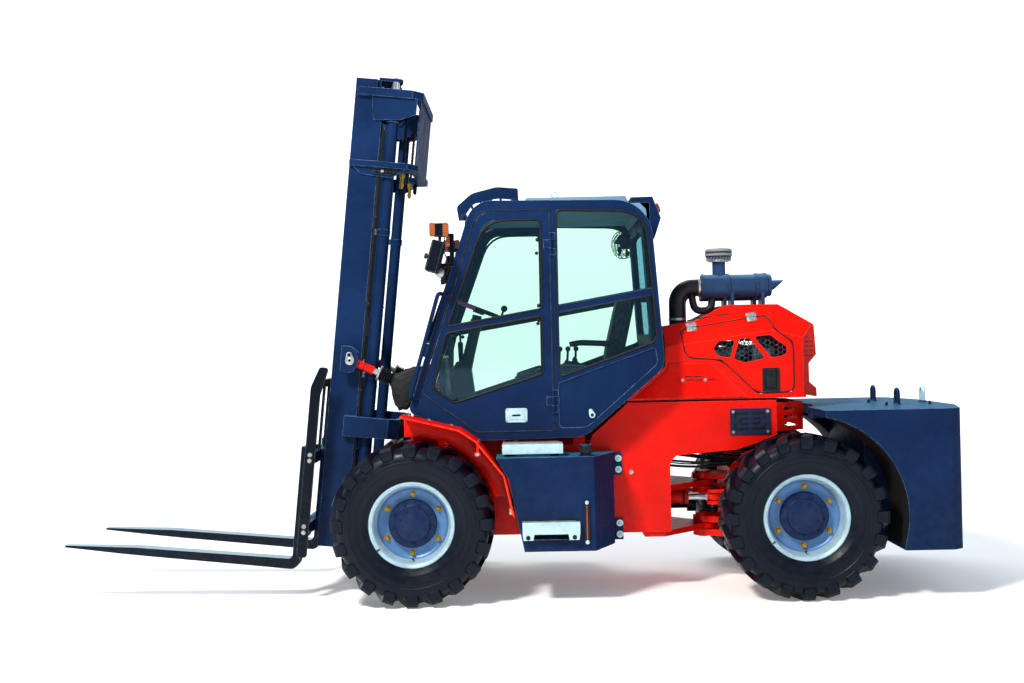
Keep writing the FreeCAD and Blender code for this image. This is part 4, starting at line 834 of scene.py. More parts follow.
# %% [markdown]
# Round each engine door runs a black bulb seal, pushed over the edge of the opening. It is one closed bead
# along the door's outline. The pressed step below the door is a plate 11.5 mm proud with a rolled edge.

# %% Engine door seal and pressed step
edge = soft_corners(DOOR_LINE, 60, 7)
fine = np.concatenate([a + (b - a) * np.linspace(0, 1, 7)[:-1, None]
                       for a, b in zip(edge, np.roll(edge, -1, 0))])
seal = sweep(on_hood(fine[:, 0], fine[:, 1], 0.5), circle(4.6, 8), closed=True)
pair("engine_door_seals", seal, seal_rubber, sharp=60)
step_edge = soft_corners([(-1500, 1312), (-1742, 1514), (-1742, 1554), (-2035, 1554), (-2290, 1312)], 14)
step = plate(step_edge, 15, side(SIDE + 4), (), 6)
pair("hood_pressed_steps", step, red)

# %% [markdown]
# Behind the three windows of the door sits a punched steel sheet with hexagon holes, 34 mm apart, which
# leaves bars of 5.5 mm. The holes are laid out in columns, every second column half a step higher.

# %% Honeycomb behind the door windows
def hexagons(x0, x1, z0, z1, pitch, bar):
    """Corners of hexagon holes that fill the rectangle: radius = (pitch - bar) / sqrt 3, columns pitch *
    0.866 apart."""
    corner = circle((pitch - bar) / math.sqrt(3), 6)
    holes = []
    for column, x in enumerate(np.arange(x0, x1, pitch * 0.866)):
        for z in np.arange(z0, z1, pitch) + (pitch / 2 if column % 2 else 0):
            holes.append(corner + (x, z))
    return holes


def inside(outline, points, margin):
    """True where every point is inside a convex outline by at least margin: signed distance to each edge."""
    corners = np.asarray(outline, float)
    ahead = np.roll(corners, -1, 0) - corners
    normal = np.stack([-ahead[:, 1], ahead[:, 0]], 1) / np.linalg.norm(ahead, axis=1)[:, None]
    distance = ((np.asarray(points)[:, None] - corners) * normal).sum(-1)
    distance *= np.sign(((corners.mean(0) - corners) * normal).sum(-1))
    return bool((distance > margin).all())


sheet_edge = [(-2042, 1704), (-2200, 1722), (-2470, 1750), (-2580, 1672), (-2580, 1590), (-2420, 1545),
              (-2240, 1535), (-2046, 1588)]
holes = [h for h in hexagons(-2578, -2040, 1530, 1756, 34, 5.5) if inside(sheet_edge, h, 1.5)]
comb = plate(sheet_edge, 3, side(430), holes)
for word, turned in SIDES:
    body = "engine_door_" + word
    piece(body + "_honeycomb", turned(comb), black, body)
print("honeycomb holes", len(holes))

# %% [markdown]
# The door is held by a flush paddle latch: a black frame with four screws, a sunk pan and the paddle that the
# fingers pull, with a round lock over it.

# %% Paddle latch
hole = panel(-2489, -2404, 1366, 1492, 8)
latch_parts = joined([plate(panel(-2506, -2387, 1347, 1511, 10), 8, side(SIDE + 2), [hole], 2),
                      plate(hole, 3, side(SIDE - 8)),
                      plate(panel(-2479, -2414, 1378, 1452, 14), 9, side(SIDE - 1), (), 3),
                      block(-2418, -2475, SIDE + 2, SIDE + 9, 1380, 1390, 3)])
latch_steel = joined([domes([(x, SIDE + 6, z) for x in (-2396, -2497) for z in (1357, 1501)], 5, 3),
                      lathe([(0, 0), (11, 0), (11, 7), (8, 9), (0, 9)], (-2446, SIDE - 6, 1472), LEFT, 20)])
for word, turned in SIDES:
    body = "engine_door_" + word
    piece(body + "_latch", turned(latch_parts), black_plastic, body)
    piece(body + "_latch_screws", turned(latch_steel), oily_steel, body)

# %% [markdown]
# Cooling air leaves through louvred plates. The plate low on the skirt is navy, with bent slots punched on
# both sides of a middle web and a bolt in each corner. Over it the hood has short slots, two bolts, and rows
# of slots on its rear corner. Where a slot is cut in the skin, a dark insert 1 mm proud stands for the hole:
# painted shade inside it, and the filter cloth behind it. A dark sheet under the skirt plate is painted shade
# seen through its slots.

# %% Vent plates and slots
def rear_corner(a, b):
    """Place on the hood's chamfered rear corner: a runs along the chamfer, b is height."""
    start, end = np.array([-2670.0, SIDE, 0]), np.array([-2786.0, 320.0, 0])
    along = (end - start) / np.linalg.norm(end - start)
    out = np.array([along[1], -along[0], 0])
    return start + along * a + np.array([0, 0, b]) + out * 0.6


def shoulder_place(a, b):
    """Place on the hood's shoulder facet, measured from its upper front corner: a runs back, b runs up the
    facet."""
    back = np.array([-416.0, 0, 61.0]) / math.hypot(416, 61)
    up = np.cross(back, FACET)
    up = up if up[2] > 0 else -up
    return on_hood(-1990, 1800) + back * a + up * b + FACET * 0.6


def slot_along(path, width):
    """Outline of a slot of even width about a path: half the width to its left, and back along its right."""
    along = np.gradient(path, axis=0)
    along /= np.linalg.norm(along, axis=1)[:, None]
    across = np.stack([-along[:, 1], along[:, 0]], 1) * width / 2
    return np.vstack([path + across, (path - across)[::-1]])


outer_slot = slot_along(rounded([(13, 54), (100, 54), (104, 15)], 48, 8), 15)
inner_slot = slot_along(rounded([(15, 18), (68, 18), (68, -18), (15, -18)], 17, 6), 13)
VENT_CENTRE = (-2298.5, 1144.5)
rows = [VENT_CENTRE + slot * (way, up) for way in (-1, 1)
        for slot, ups in ((outer_slot, (1, -1)), (inner_slot, (1,))) for up in ups]
vent_edge = panel(-2438, -2159, 1054, 1235, 14)
vent = plate(vent_edge, 6, side(SIDE + 5), rows, 1.5)
pair("skirt_vent_plates", vent, vent_navy)
# A dark sheet under the vent plate: painted shade seen through its slots.
vent_backing_shade = plate(vent_edge, 1.5, side(SIDE + 1))
# Dark inserts in the skin's slots: painted shade in each hole, and the filter cloth behind it.
slots = [plate(oblong(x, z, 52, 8), 2, side(SIDE + 11.2)) for x, z in
         ((-1880, 1462), (-1945, 1462), (-1893, 1438), (-1950, 1438), (-2040, 1438))]
slots += [plate(oblong(x, z, 8, 8), 2, side(SIDE + 11.2))
          for x, z in ((-2003, 1402), (-2003, 1366), (-1858, 1328))]
slots += [plate(oblong(44 + column * 62, z, 48, 10), 2, rear_corner) for column in (0, 1)
          for z in (1590, 1622, 1654, 1686, 1718) if column == 0 or z < 1700]
slots += [plate(oblong(a, 78, 96, 9), 2, shoulder_place) for a in (40, 160)]
pair("hood_slot_shade_and_cloth", [vent_backing_shade] + slots, seal_rubber)
corner_bolts = [(x, SIDE + 8, z) for x in (-2180, -2417) for z in (1075, 1214)]
step_bolts = [(-1841, SIDE + 11, 1438), (-1994, SIDE + 11, 1438)]
pair("hood_bolts", bolts(corner_bolts + step_bolts, 8), zinc, sharp=30)

# %% [markdown]
# Each engine door hangs on two strap hinges of zinc-plated steel: two leaves and three knuckles on one pin.
# The upper leaf stays on the hood, and the lower leaf and the middle knuckle swing with the door.

# %% Engine door hinges
HINGE_START = np.array([-1917.0, 370.0, 1812.0])
HINGE_LINE = np.array([-416.0, 0.0, 61.0]) / math.hypot(416, 61)
down = np.cross(HINGE_LINE, FACET)
down *= -np.sign(down[2])


def hinge_place(lift, start):
    """Place for a leaf: a runs along the hinge line, b down the facet, lift is outward from the line."""
    return lambda a, b: start + HINGE_LINE * a + down * b + FACET * lift


def hinge_leaves(low, high, knuckles):
    """Both hinges' leaves between two distances down from the pin, with their knuckles and two screws
    each."""
    shapes, screws = [], []
    for start in (HINGE_START, HINGE_START - HINGE_LINE * 416 / HINGE_LINE[0]):
        shapes.append(plate(panel(-34, 34, low, high, 5), 3, hinge_place(-3.5, start), (), 1))
        shapes += [lathe([(0, a), (7.4, a), (7.4, b), (0, b)], start, HINGE_LINE, 18) for a, b in knuckles]
        screws += [start + HINGE_LINE * a + down * (low + high) / 2 - FACET * 2 for a in (-20, 20)]
    return joined(shapes + [domes(screws, 5, 3, FACET)])


pair("hood_hinge_leaves", hinge_leaves(-30, -7, [(-34, -12), (12, 34)]), zinc, sharp=40)
for word, turned in SIDES:
    leaves = turned(hinge_leaves(7, 44, [(-10, 10)]))
    piece(word + "_door_hinge_leaves", leaves, zinc, "engine_door_" + word, 40)

# %% [markdown]
# Through the honeycomb the top of the engine shows: a ribbed rocker cover in cast aluminium, an intake pipe,
# an alternator and the black hoses of the cooler. They stand on the CAD block, which only marks the space.

# %% Top of the engine
rib_at = np.linspace(-1850, -2350, 15)
cover = [block(-1840, -2360, -190, 60, 1561, 1618, 14), block(-1865, -2335, -150, 20, 1616, 1652, 14)]
ribs = [block(x - 5, x + 5, -158, 28, 1640, 1660, 2) for x in rib_at]
manifold = tube([(-1860, 170, 1600), (-2060, 170, 1600), (-2300, 170, 1612), (-2380, 150, 1640)], 38, 60, 16)
runners = [tube([(x, 150, 1604), (x, 90, 1640), (x, 40, 1630)], 20, 30, 12)
           for x in (-1900, -2020, -2140, -2260)]
alternator = lathe([(0, -70), (58, -70), (66, -56), (66, 50), (58, 66), (30, 70), (30, 96), (0, 96)],
                   (-2420, 250, 1610), AHEAD, 28)
piece("engine_castings", cover + ribs + [manifold, alternator] + runners, silver, sharp=30)
hoses = [tube([(-2440, 120, 1560), (-2470, 250, 1640), (-2440, 330, 1700), (-2300, 330, 1726)], 24, 80),
         tube([(-1830, 250, 1570), (-1850, 340, 1650), (-1990, 350, 1700), (-2150, 320, 1690)], 20, 90),
         tube([(-2200, 300, 1562), (-2210, 340, 1640), (-2300, 345, 1660), (-2350, 300, 1570)], 11, 60),
         tube([(-1900, -250, 1570), (-1950, -330, 1660), (-2200, -340, 1700), (-2420, -300, 1640)], 22, 90)]
piece("engine_hoses", hoses, hose_rubber, sharp=50)

# %% [markdown]
# The air filter is a steel canister held by two bands, with a grey plastic pre-cleaner on top whose fins spin
# the dust out. Rubber elbows are clamped with worm-drive bands.

# %% Air filter, pre-cleaner and clamps
FILTER = (170.0, 2090.0)


def band(x, y, z, axis, inner, outer_r, half):
    """Clamp band: a flat ring from inner to outer radius, twice half wide, about the axis."""
    return lathe([(inner, -half), (outer_r, -half), (outer_r, half), (inner, half)],
                 (x, y, z), axis, 48, ring=True)


y, z = FILTER
bands = [band(x, y, z, AHEAD, r - 2, r + 4, 9)
         for x, r in ((-2028, 84), (-2204, 84), (-2402, 84), (-2466, 86))]
rings = [band(-2002, y, z - 4, AHEAD, 54, 60, 8), band(-1842, y, 1862, UP, 54, 60, 8),
         band(-2145, y, 2270, UP, 44, 71, 9)]
toggles = [block(x - 9, x + 9, y + 78, y + 92, z - 26, z + 26, 3) for x in (-2204, -2402)]
screws = [block(-2002 - 9, -2002 + 9, y + 46, y + 68, z + 20, z + 34, 2)]
piece("filter_bands", bands + toggles, filter_blue)
piece("hose_clamps", rings + screws, zinc)
bowl = lathe([(0, 2287), (72, 2287), (76, 2292), (86, 2296), (95, 2304), (96, 2318), (93, 2320), (93, 2332),
              (96, 2334), (96, 2344), (88, 2353), (60, 2356), (0, 2357)], (-2145, y, 0), UP, 56)
fin = block(-2145 + 70, -2145 + 88, y - 2, y + 2, 2268, 2294, 1)
fins = ring_copies(fin, (-2145, y, 0), 24, axis=UP)
piece("pre_cleaner", [bowl, fins], grey_plastic)
loop = tube([(-2092, y, 2030), (-2088, y, 1922), (-1968, y - 6, 1916), (-1950, y - 10, 2030)], 26, 70)
piece("filter_drain_hose", loop, hose_rubber, sharp=50)

# %% [markdown]
# The slope in front of the filter is a perforated sheet with rows of long slots, where the cooler breathes.

# %% Perforated sheet on the hood's slope
def slope(a, b):
    """Place on the hood's front slope: a runs up it, b runs across."""
    start, end = np.array([-1959.0, 0, 1848.0]), np.array([-2175.0, 0, 1954.0])
    along = (end - start) / np.linalg.norm(end - start)
    return start + along * a + np.array([0, b, 0]) + np.array([along[2], 0, -along[0]]) * 4


grille_edge = panel(14, 226, -215, 100, 16)
grille_holes = [oblong(0, 0, 78, 8, 90) + (30 + 18 * i, -162 + 88 * j) for i in range(11) for j in range(3)]
piece("slope_grille", plate(grille_edge, 3, slope, grille_holes), black)
print("grille slots", len(grille_holes))

# %% [markdown]
# The mast leans back six degrees, so its hardware is drawn in the mast's own directions: u forward from the
# rear of the rails, w up along them. One function turns a shape drawn as (u, y, w) to its place on the
# machine.

# %% The mast's own directions
LEAN = math.radians(6)


def on_mast(shapes):
    """(u, y, w) to (470 + u cos - w sin, y, 520 + u sin + w cos) for the lean."""
    points, faces = as_one(shapes)
    u, y, w = points.T
    c, s = math.cos(LEAN), math.sin(LEAN)
    return np.stack([470 + u * c - w * s, y, 520 + u * s + w * c], 1), faces


def mast_pair(name, shapes, *rest, **named):
    return pair(name, on_mast(shapes), *rest, **named)


print("mast top stands at", round(float(on_mast((np.array([[207.0, 0, 3044.0]]), []))[0][0, 2])), "mm")

# %% [markdown]
# A leaf chain is only plates and pins: three plates join each pair of pins, then three in the gaps between
# them join the next pair. Every plate is the same ten-cornered outline with a waist, so the whole chain is
# one small table of corners, multiplied out over all links and layers at once.

# %% Leaf chain
PLATE_ENDS = np.array([1, 1, 1, 1, 0, -1, -1, -1, -1, 0])
PLATE_EXTRA = np.array([[4, 10], [10, 4], [10, -4], [4, -10], [0, -7.5], [-4, -10], [-10, -4],
                        [-10, 4], [-4, 10], [0, 7.5]])


def leaf_chain(pins, y):
    """Plate corner = middle + (end * half pitch + extra) along + b across; even and odd links take turns in
    y."""
    pins = np.asarray(pins, float)
    step = np.diff(pins, axis=0)
    pitch = np.linalg.norm(step, axis=1)
    along = step / pitch[:, None]
    across = np.stack([-along[:, 1], along[:, 0]], 1)
    reach = PLATE_ENDS * pitch[:, None] / 2 + PLATE_EXTRA[:, 0]
    flat = ((pins[1:] + pins[:-1])[:, None] / 2 + reach[..., None] * along[:, None]
            + PLATE_EXTRA[None, :, 1:] * across[:, None])
    layers = np.array([-11.0, -2.2, 6.6])[None, :] + 4.4 * (np.arange(len(step)) % 2)[:, None]
    depth = layers[:, :, None] + np.array([-1.9, 1.9])
    corners = np.broadcast_to(flat[:, None, None], (len(step), 3, 2, 10, 2))
    level = np.broadcast_to(y + depth[..., None], corners.shape[:-1])
    points = np.stack([corners[..., 0], level, corners[..., 1]], -1).reshape(-1, 3)
    ring = np.arange(10)
    walls = np.stack([ring, (ring + 1) % 10, (ring + 1) % 10 + 10, ring + 10], 1)
    starts = np.arange(len(step) * 3) * 20
    caps = np.stack([ring[::-1], ring + 10])
    plates = points, [(starts[:, None, None] + walls).reshape(-1, 4),
                      (starts[:, None, None] + caps).reshape(-1, 10)]
    pin = lathe([(0, -13.5), (4.2, -13.5), (4.2, 13.5), (0, 13.5)], (0, y, 0), LEFT, 8)
    return joined([plates, at_places(pin, [(u, 0, w) for u, w in pins])])


CHAIN_Y = 300.0
SHEAVE = (-30.0, 2880.0, 115.0)
u0, w0, r = SHEAVE
a = np.linspace(0, math.pi, 15)
over = np.stack([u0 + r * np.cos(a), w0 + r * np.sin(a)], 1)
front_pins = np.stack([np.full(95, u0 + r), np.linspace(484, w0, 95)], 1)
rear_pins = np.stack([np.full(17, u0 - r), np.linspace(2478, w0, 17)], 1)
top_chain = mast_pair("chain_over_sheaves", leaf_chain(over, CHAIN_Y), chain_steel, "mast_inner")
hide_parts("lift_chains")

# %% [markdown]
# When the mast rises, the chain shortens in front of the sheave and grows behind it. Links can't appear in a
# model; here the front run rides on the inner rail with a mesh of its own, and the rear run rides on no body,
# with its points baked in place.


def mast_metres(u, y, w):
    return tuple(metres(on_mast((np.array([[u, y, w]], float), []))[0])[0].tolist())


front_run = mast_pair("chain_front_runs", leaf_chain(front_pins, CHAIN_Y), chain_steel, "mast_inner")
mast_metres(u0 + r, 0, w0)
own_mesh(front_run)
rear_run = mast_pair("chain_rear_runs", leaf_chain(rear_pins, CHAIN_Y), chain_steel, None)
mast_metres(u0 - r, 0, 2490)
mast_metres(u0 - r, 0, w0 - 5)
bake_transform(rear_run)

# %% [markdown]
# Each chain ends in a threaded stud with a nut and a lock nut, passivated yellow, so that it can be
# tightened. The stud hangs under the crossmember, beside a small black stop plate.

# %% Chain studs, and the nuts of the lift rods
def nut(radius, height, place):
    """Upright hexagon nut with its flat faces chamfered at the corners."""
    profile = [(0, 0), (radius * 0.88, 0), (radius, height * 0.14), (radius, height * 0.86),
               (radius * 0.88, height), (0, height)]
    return lathe(profile, place, UP, 6)


rear_u = u0 - r
stud = lathe([(0, 2322), (9, 2322), (12.4, 2327), (12.4, 2436), (0, 2436)], (rear_u, CHAIN_Y, 0), UP, 20)
studs = [stud, nut(21, 18, (rear_u, CHAIN_Y, 2417)), nut(21, 14, (rear_u, CHAIN_Y, 2400)),
         nut(18, 14, (rear_u, CHAIN_Y, 2340))]
mast_pair("chain_studs", studs, brass, "mast_outer", 30, slot="galvanised")
stop = plate(soft_corners([(-196, 2436), (-168, 2436), (-168, 2368), (-184, 2352), (-196, 2360)], 5), 8,
             side(CHAIN_Y + 14))
mast_pair("chain_stop_plates", stop, black, "mast_outer")
rod_washer = lathe([(0, 0), (23, 0), (23, 2), (0, 2)], (-62, 420, 3061.5), UP, 24)
rod_nuts = [nut(17, 10, (-62, 420, 3062)), rod_washer]
mast_pair("lift_rod_nuts", rod_nuts, zinc, "mast_inner", 30)

# %% [markdown]
# The lift cylinders are held to the rails by a clamp half way up: a band round the barrel with a lug and two
# bolts. Their top glands are turned steel with a wiper ring. An oil pipe of 14 mm runs down behind each rail
# to the cylinder's foot, in three pipe clips.

# %% Clamps, oil pipes and hole plates
CYLINDER = (-62.0, 420.0)
cu, cy = CYLINDER
CLAMPS = (1996, 1010)
clamps = [lathe([(39, w - 22), (46, w - 22), (46, w + 22), (39, w + 22)], (cu, cy, 0), UP,
                ring=True) for w in CLAMPS]
clamps += [block(cu + 38, 12.5, cy - 16, cy + 16, w - 20, w + 20, 2) for w in CLAMPS]
mast_pair("cylinder_clamps", clamps, navy, "mast_outer")
clamp_bolts = bolts([(cu + 58, cy + 16, w + z) for w in CLAMPS for z in (-11, 11)], 8, 8)
mast_pair("cylinder_clamp_bolts", clamp_bolts, zinc, "mast_outer", 30)
pipe = tube([(2, 462, 2380), (2, 462, 1200), (2, 462, -40), (-10, 456, -96), (cu, cy + 36, -110)], 7, 40, 12)
clips = [block(-7, 12.5, 452, 472, w - 9, w + 9, 3) for w in (300, 900, 1500, 2100)]
mast_pair("mast_oil_pipes", [pipe] + clips, hose_rubber, "mast_outer", 50)
strip_holes = [circle(5, 12) + (-104 + 26 * i, 2411) for i in range(6) if i != 3]
strip = plate(panel(-124, 40, 2390, 2434, 5), 5, side(487), strip_holes)
mast_pair("mast_hole_plates", strip, black, "mast_outer")
mast_pair("mast_plate_bolts", bolts([(-26, 489.5, 2411)], 8), zinc, "mast_outer", 30)

# %% [markdown]
# Crossmembers are welded to the rails with a single run of weld. A weld is a chain of overlapping drops about
# 7 mm apart, so the bead is a tube whose size swells and shrinks along its length.

# %% Weld beads
def weld(start, end, radius=4.5):
    """Tube from start to end; its size is 1 + 0.16 sin(2 pi s / 7 mm)."""
    start, end = np.asarray(start, float), np.asarray(end, float)
    length = np.linalg.norm(end - start)
    s = np.linspace(0, 1, max(int(length / 3.5), 4))
    return sweep(start + (end - start) * s[:, None], circle(radius, 8),
                 scale=1 + 0.16 * np.sin(s * length * 2 * math.pi / 7))


RUNS = [(14, 186, 2925), (14, 186, 2437), (14, 184, 2981), (14, 184, 2478), (14, 88, 581), (14, 88, 719)]
beads = [weld((u0, 471, w), (u1, 471, w)) for u0, u1, w in RUNS]
beads += [weld((44, 469, 1168), (86, 469, 1192)), weld((22, 471, 1098), (42, 471, 1030)),
          weld((64, 483, 2762), (85, 483, 2924)), weld((46, 482, 1031), (138, 482, 1029))]
mast_pair("mast_welds", beads, navy, "mast_outer", 60)

# %% [markdown]
# The pin of each tilt cylinder is kept from turning by a keeper plate shaped like an eight: the large hole
# sits on the pin, the small one takes a bolt. It is galvanised and stands out bright against the navy ear.

# %% Keeper plates on the tilt pins
def figure_eight(low, high, big, small, steps=14):
    """Outline round two circles: arcs of the large one below and the small one above, joined by straight
    sides."""
    low, high = np.asarray(low, float), np.asarray(high, float)
    up = (high - low) / np.linalg.norm(high - low)
    right = np.array([up[1], -up[0]])
    a = np.linspace(math.radians(152), math.radians(388), steps)[:, None]
    b = np.linspace(math.radians(20), math.radians(160), steps // 2)[:, None]
    return np.vstack([low + big * (np.cos(a) * right + np.sin(a) * up),
                      high + small * (np.cos(b) * right + np.sin(b) * up)])


keeper = plate(figure_eight((77, 1099), (84, 1138), 31, 19), 7, side(571), [circle(12, 16) + (77, 1099)], 1)
collar = lathe([(9, 0), (19, 0), (19, 8), (15, 10), (9, 10)], (77, 573, 1099), LEFT, 28, ring=True)
mast_pair("tilt_pin_keepers", [keeper, collar], zinc, "mast_outer", 30)
mast_pair("tilt_pin_bolts", bolts([(84, 574, 1138)], 9, 8), oily_steel, "mast_outer", 30)

# %% [markdown]
# The tilt rod is red steel with a dark seam where its eye is screwed on, a grease nipple on top, a bright
# stretch of bare rod, and a pressed ring that holds the end of the bellows.

# %% Tilt rod fittings
TILT_PIVOT = np.array([-75.0, 520.0, 1382.0])
TILT_EYE = np.array([432.0, 520.0, 1621.0])
TILT_LENGTH = np.linalg.norm(TILT_EYE - TILT_PIVOT)
TILT_AXIS = (TILT_EYE - TILT_PIVOT) / TILT_LENGTH
TILT_RISE = np.array([-TILT_AXIS[2], 0, TILT_AXIS[0]])


def on_tilt(profile, steps=40):
    """Turned about the tilt cylinder's axis; heights are distances from its trunnion."""
    return lathe(profile, TILT_PIVOT, TILT_AXIS, steps)


seam = on_tilt([(28, 452), (29.6, 452), (29.6, 459), (28, 459)])
pair("tilt_eye_seams", seam, seal_rubber, "tilt_cylinder_rods")
bare = on_tilt([(19, 350), (20.6, 350), (20.6, 387), (19, 387)])
ring = on_tilt([(40, 337.5), (53.5, 337.5), (54, 340), (54, 348.5), (52, 350.5), (24, 350.5), (24, 349.2)])
nipple_at = TILT_PIVOT + TILT_AXIS * 478 + TILT_RISE * 28
nipple = lathe([(0, 0), (6, 0), (6, 5), (3.5, 7), (3.5, 10), (5.5, 12), (5.5, 15), (3, 18), (0, 18)],
               nipple_at, TILT_RISE, 14)
pair("tilt_rod_rings", [bare, ring, nipple], zinc, "tilt_cylinder_rods")

# %% [markdown]
# The bellows are moulded rubber: round folds, wide where they bulge and narrow between. On the machine they
# sit half on the cylinder and half on its rod, so they open and close as the mast tilts; here they ride on no
# body, with their points baked in place.

# %% Rubber bellows
s = np.linspace(0, 1, 73)
radius = 42.5 + 7.0 * np.cos(2 * math.pi * 6 * s + math.pi)
folds = [(24, 236)] + list(zip(radius, 236 + 101 * s)) + [(24, 337)]
bellows = pair("tilt_bellows", on_tilt(folds, 48), hose_rubber, None, 60)
start, end = (tuple(metres([TILT_PIVOT + TILT_AXIS * d])[0].tolist()) for d in (240, 333))
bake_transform(bellows)
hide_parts("tilt_boots")

# %% [markdown]
# A leather bag is tied round each tilt cylinder where it goes into the cab's corner. It hangs slack: narrow
# at the bellows, deep below, and gathered into folds that run from one tie to the other. Across, the bag is a
# soft rectangle; along, its size is a smooth curve; and each fold is a ridge whose depth dies away at the
# ties.

# %% Leather bags on the tilt cylinders
def leather_bag():
    """Point = axis point + wide(s) |cos a|^0.6 Y + tall(s) |sin a|^0.7 rise. Three sets of spiral folds and
    one of creases scale it by a few hundredths, and below the axis it sags by 16 mm in the middle."""
    s = np.linspace(0, 1, 40)[:, None]
    a = turns(96)[None, :]
    tall = np.interp(s, [0, 0.05, 0.3, 0.55, 0.78, 0.93, 1], [120, 142, 152, 132, 92, 58, 47])
    wide = np.interp(s, [0, 0.05, 0.3, 0.6, 0.85, 1], [52, 56, 58, 57, 53, 47])
    soft = np.sin(np.pi * np.clip(s, 0, 1)) ** 0.6
    folds = 1 + soft * (0.045 * np.sin(5 * a + 4 * s) + 0.03 * np.sin(11 * a - 9 * s)
                        + 0.022 * np.sin(17 * a + 14 * s))
    creases = 1 + 0.02 * np.sin(26 * s + 3 * np.cos(a) + 2 * np.sin(2 * a)) * soft
    across = wide * squarish(np.cos(a), 0.6) * (0.5 + 0.5 * folds)
    upward = tall * squarish(np.sin(a), 0.7) * folds * creases - 16 * soft * (np.sin(a) < 0)
    along = 58 + 178 * s + 0 * a
    points = (TILT_PIVOT + along[..., None] * TILT_AXIS + across[..., None] * np.array([0, 1.0, 0])
              + upward[..., None] * TILT_RISE)
    return capped(grid(points, close_v=True), 40, 96)


bag = pair("tilt_leather_bags", leather_bag(), leather, "tilt_cylinders", 70)
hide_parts("tilt_covers")
tie = sweep(TILT_PIVOT + TILT_AXIS * 236 + circle(49, 40) @ (LEFT, TILT_RISE), circle(3.5, 8), closed=True)
pair("tilt_bag_ties", tie, hose_rubber, "tilt_cylinders", 60)

# %% [markdown]
# On the carriage each fork is located by a spring pin in its top hook, and the load backrest is bolted to the
# ends of both fork bars. The bars have notches along the top edge that the pins drop into; each notch is
# drawn as a thin dark strip, a painted shade for its depth.

# %% Fork pins, backrest bolts and bar notches
for sign, body in ((1, "fork_left"), (-1, "fork_right")):
    knob = lathe([(0, 499), (11, 499), (11, 503), (7, 505), (7, 517), (13, 520), (13, 527), (9, 530),
                  (0, 530)], (306, sign * 440, 0), UP, 20)
    handle = tube([(300, sign * 440 - 26, 512), (306, sign * 440 - 18, 522), (306, sign * 440 + 18, 522),
                   (300, sign * 440 + 26, 512)], 3.5, 8, 8)
    piece(body + "_spring_pin", on_mast(joined([knob, handle])), zinc, body)
mast_pair("backrest_bolts", bolts([(278, 661, w) for w in (445, 405, -40, -80)], 11, 10),
          zinc, "fork_carriage", 30)
# Each notch is a thin dark strip on the bar's top: painted shade for its depth.
notch_shades = [block(255, 306, y - 7, y + 7, 464.8, 465.9, 0.2)
           for y in np.arange(-600, 601, 60) if abs(y % 420) > 20]
piece("fork_bar_notch_shades", on_mast(joined(notch_shades)), seal_rubber, "fork_carriage")

# %% [markdown]
# The front guards are a folded plate over the wheel with a rolled outer edge, an inner wall cut to a circle
# that clears the tyre, and two stays to the frame. The outer side is open, so the tread shows under the
# plate.

# %% Front wheel guards
GUARD_TOP = [(61, 1253), (-322, 1159), (-433, 1084), (-614, 855), (-672, 590)]
GUARD_UNDER = [(-662, 590), (-604, 849), (-425, 1074), (-317, 1148), (61, 1242)]
skin_plate = plate(GUARD_TOP + GUARD_UNDER, 302, side(808), (), 1.5)
arc = np.linspace(math.radians(164.5), math.radians(83.8), 30)
clear_circle = np.stack([560 * np.cos(arc), AXLE_Z + 560 * np.sin(arc)], 1)
wall = plate(np.vstack([GUARD_TOP[:4], [(-650, 690)], clear_circle]), 6, side(659), (), 1)
edge_line = np.array([(x, 957.0, z - 6) for x, z in GUARD_TOP])
rolled_edge = sweep(rounded(edge_line, 30), circle(6.5, 10))
stays = [block(-460, -420, 452, 952, 985, 1007, 3), block(-668, -640, 452, 952, 600, 640, 3),
         block(-450, -436, 662, 952, 1005, 1078, 2)]
guards = pair("front_wheel_guards", [skin_plate, wall, rolled_edge] + stays, red)
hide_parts("front_fenders")
top_bolts = bolts([(-110, 690, 1211.5), (-261, 690, 1174.5), (20, 690, 1243.5)], 9, 8, (-94, 0, 383))
low_bolts = bolts([(-652, 952, 612), (-654, 952, 630), (-440, 952, 996)])
pair("guard_bolts", [top_bolts, low_bolts], zinc, sharp=30)

# %% [markdown]
# Every window lies in a black rubber seal, a bead that follows the opening. The doors close on a second seal
# in the gap of the frame. Both are one round section swept along the outline with softened corners.

# %% Window and door seals
UPPER_PANE = [(-244, 1838), (-884, 1945), (-884, 2546), (-505, 2546)]
LOWER_PANE = [(-136, 1412), (-288, 1322), (-884, 1508), (-884, 1898), (-230, 1792)]
QUARTER = [(-990, 1480), (-1655, 1712), (-1590, 2590), (-990, 2608)]


def seal_bead(outline, y, radius):
    return sweep(at_y(outline, y), circle(radius, 10), closed=True)


upper_line = soft_corners(UPPER_PANE, (26, 26, 30, 150), 6)
lower_line = soft_corners(LOWER_PANE, (30, 30, 30, 26, 26), 6)
quarter_line = soft_corners(QUARTER, (40, 60, 190, 40), 6)
door_beads = joined([seal_bead(line, y, radius) for y, radius in ((646, 7), (597, 6))
                     for line in (upper_line, lower_line)])
for word, turned in SIDES:
    piece("door_" + word + "_window_seals", turned(door_beads), seal_rubber, "door_" + word, 60)
frame_line = soft_corners([(-49, 1394), (-425, 1119), (-949, 1119), (-949, 2611), (-459, 2611)],
                          (24, 24, 20, 20, 60), 6)
cab_beads = [seal_bead(quarter_line, 650, 7), seal_bead(quarter_line, 592, 6),
             seal_bead(frame_line, 648.5, 4.5)]
pair("cab_side_seals", cab_beads, seal_rubber, sharp=60)
across_window = panel(-470, 470, 0, 710, 70, 6)
rear_bead = sweep(np.stack([-1654 + 0.0593 * across_window[:, 1], across_window[:, 0],
                            1760 + across_window[:, 1]], 1), circle(9, 10), closed=True)
screen_edge = panel(-572, 572, 0, 850, 30)
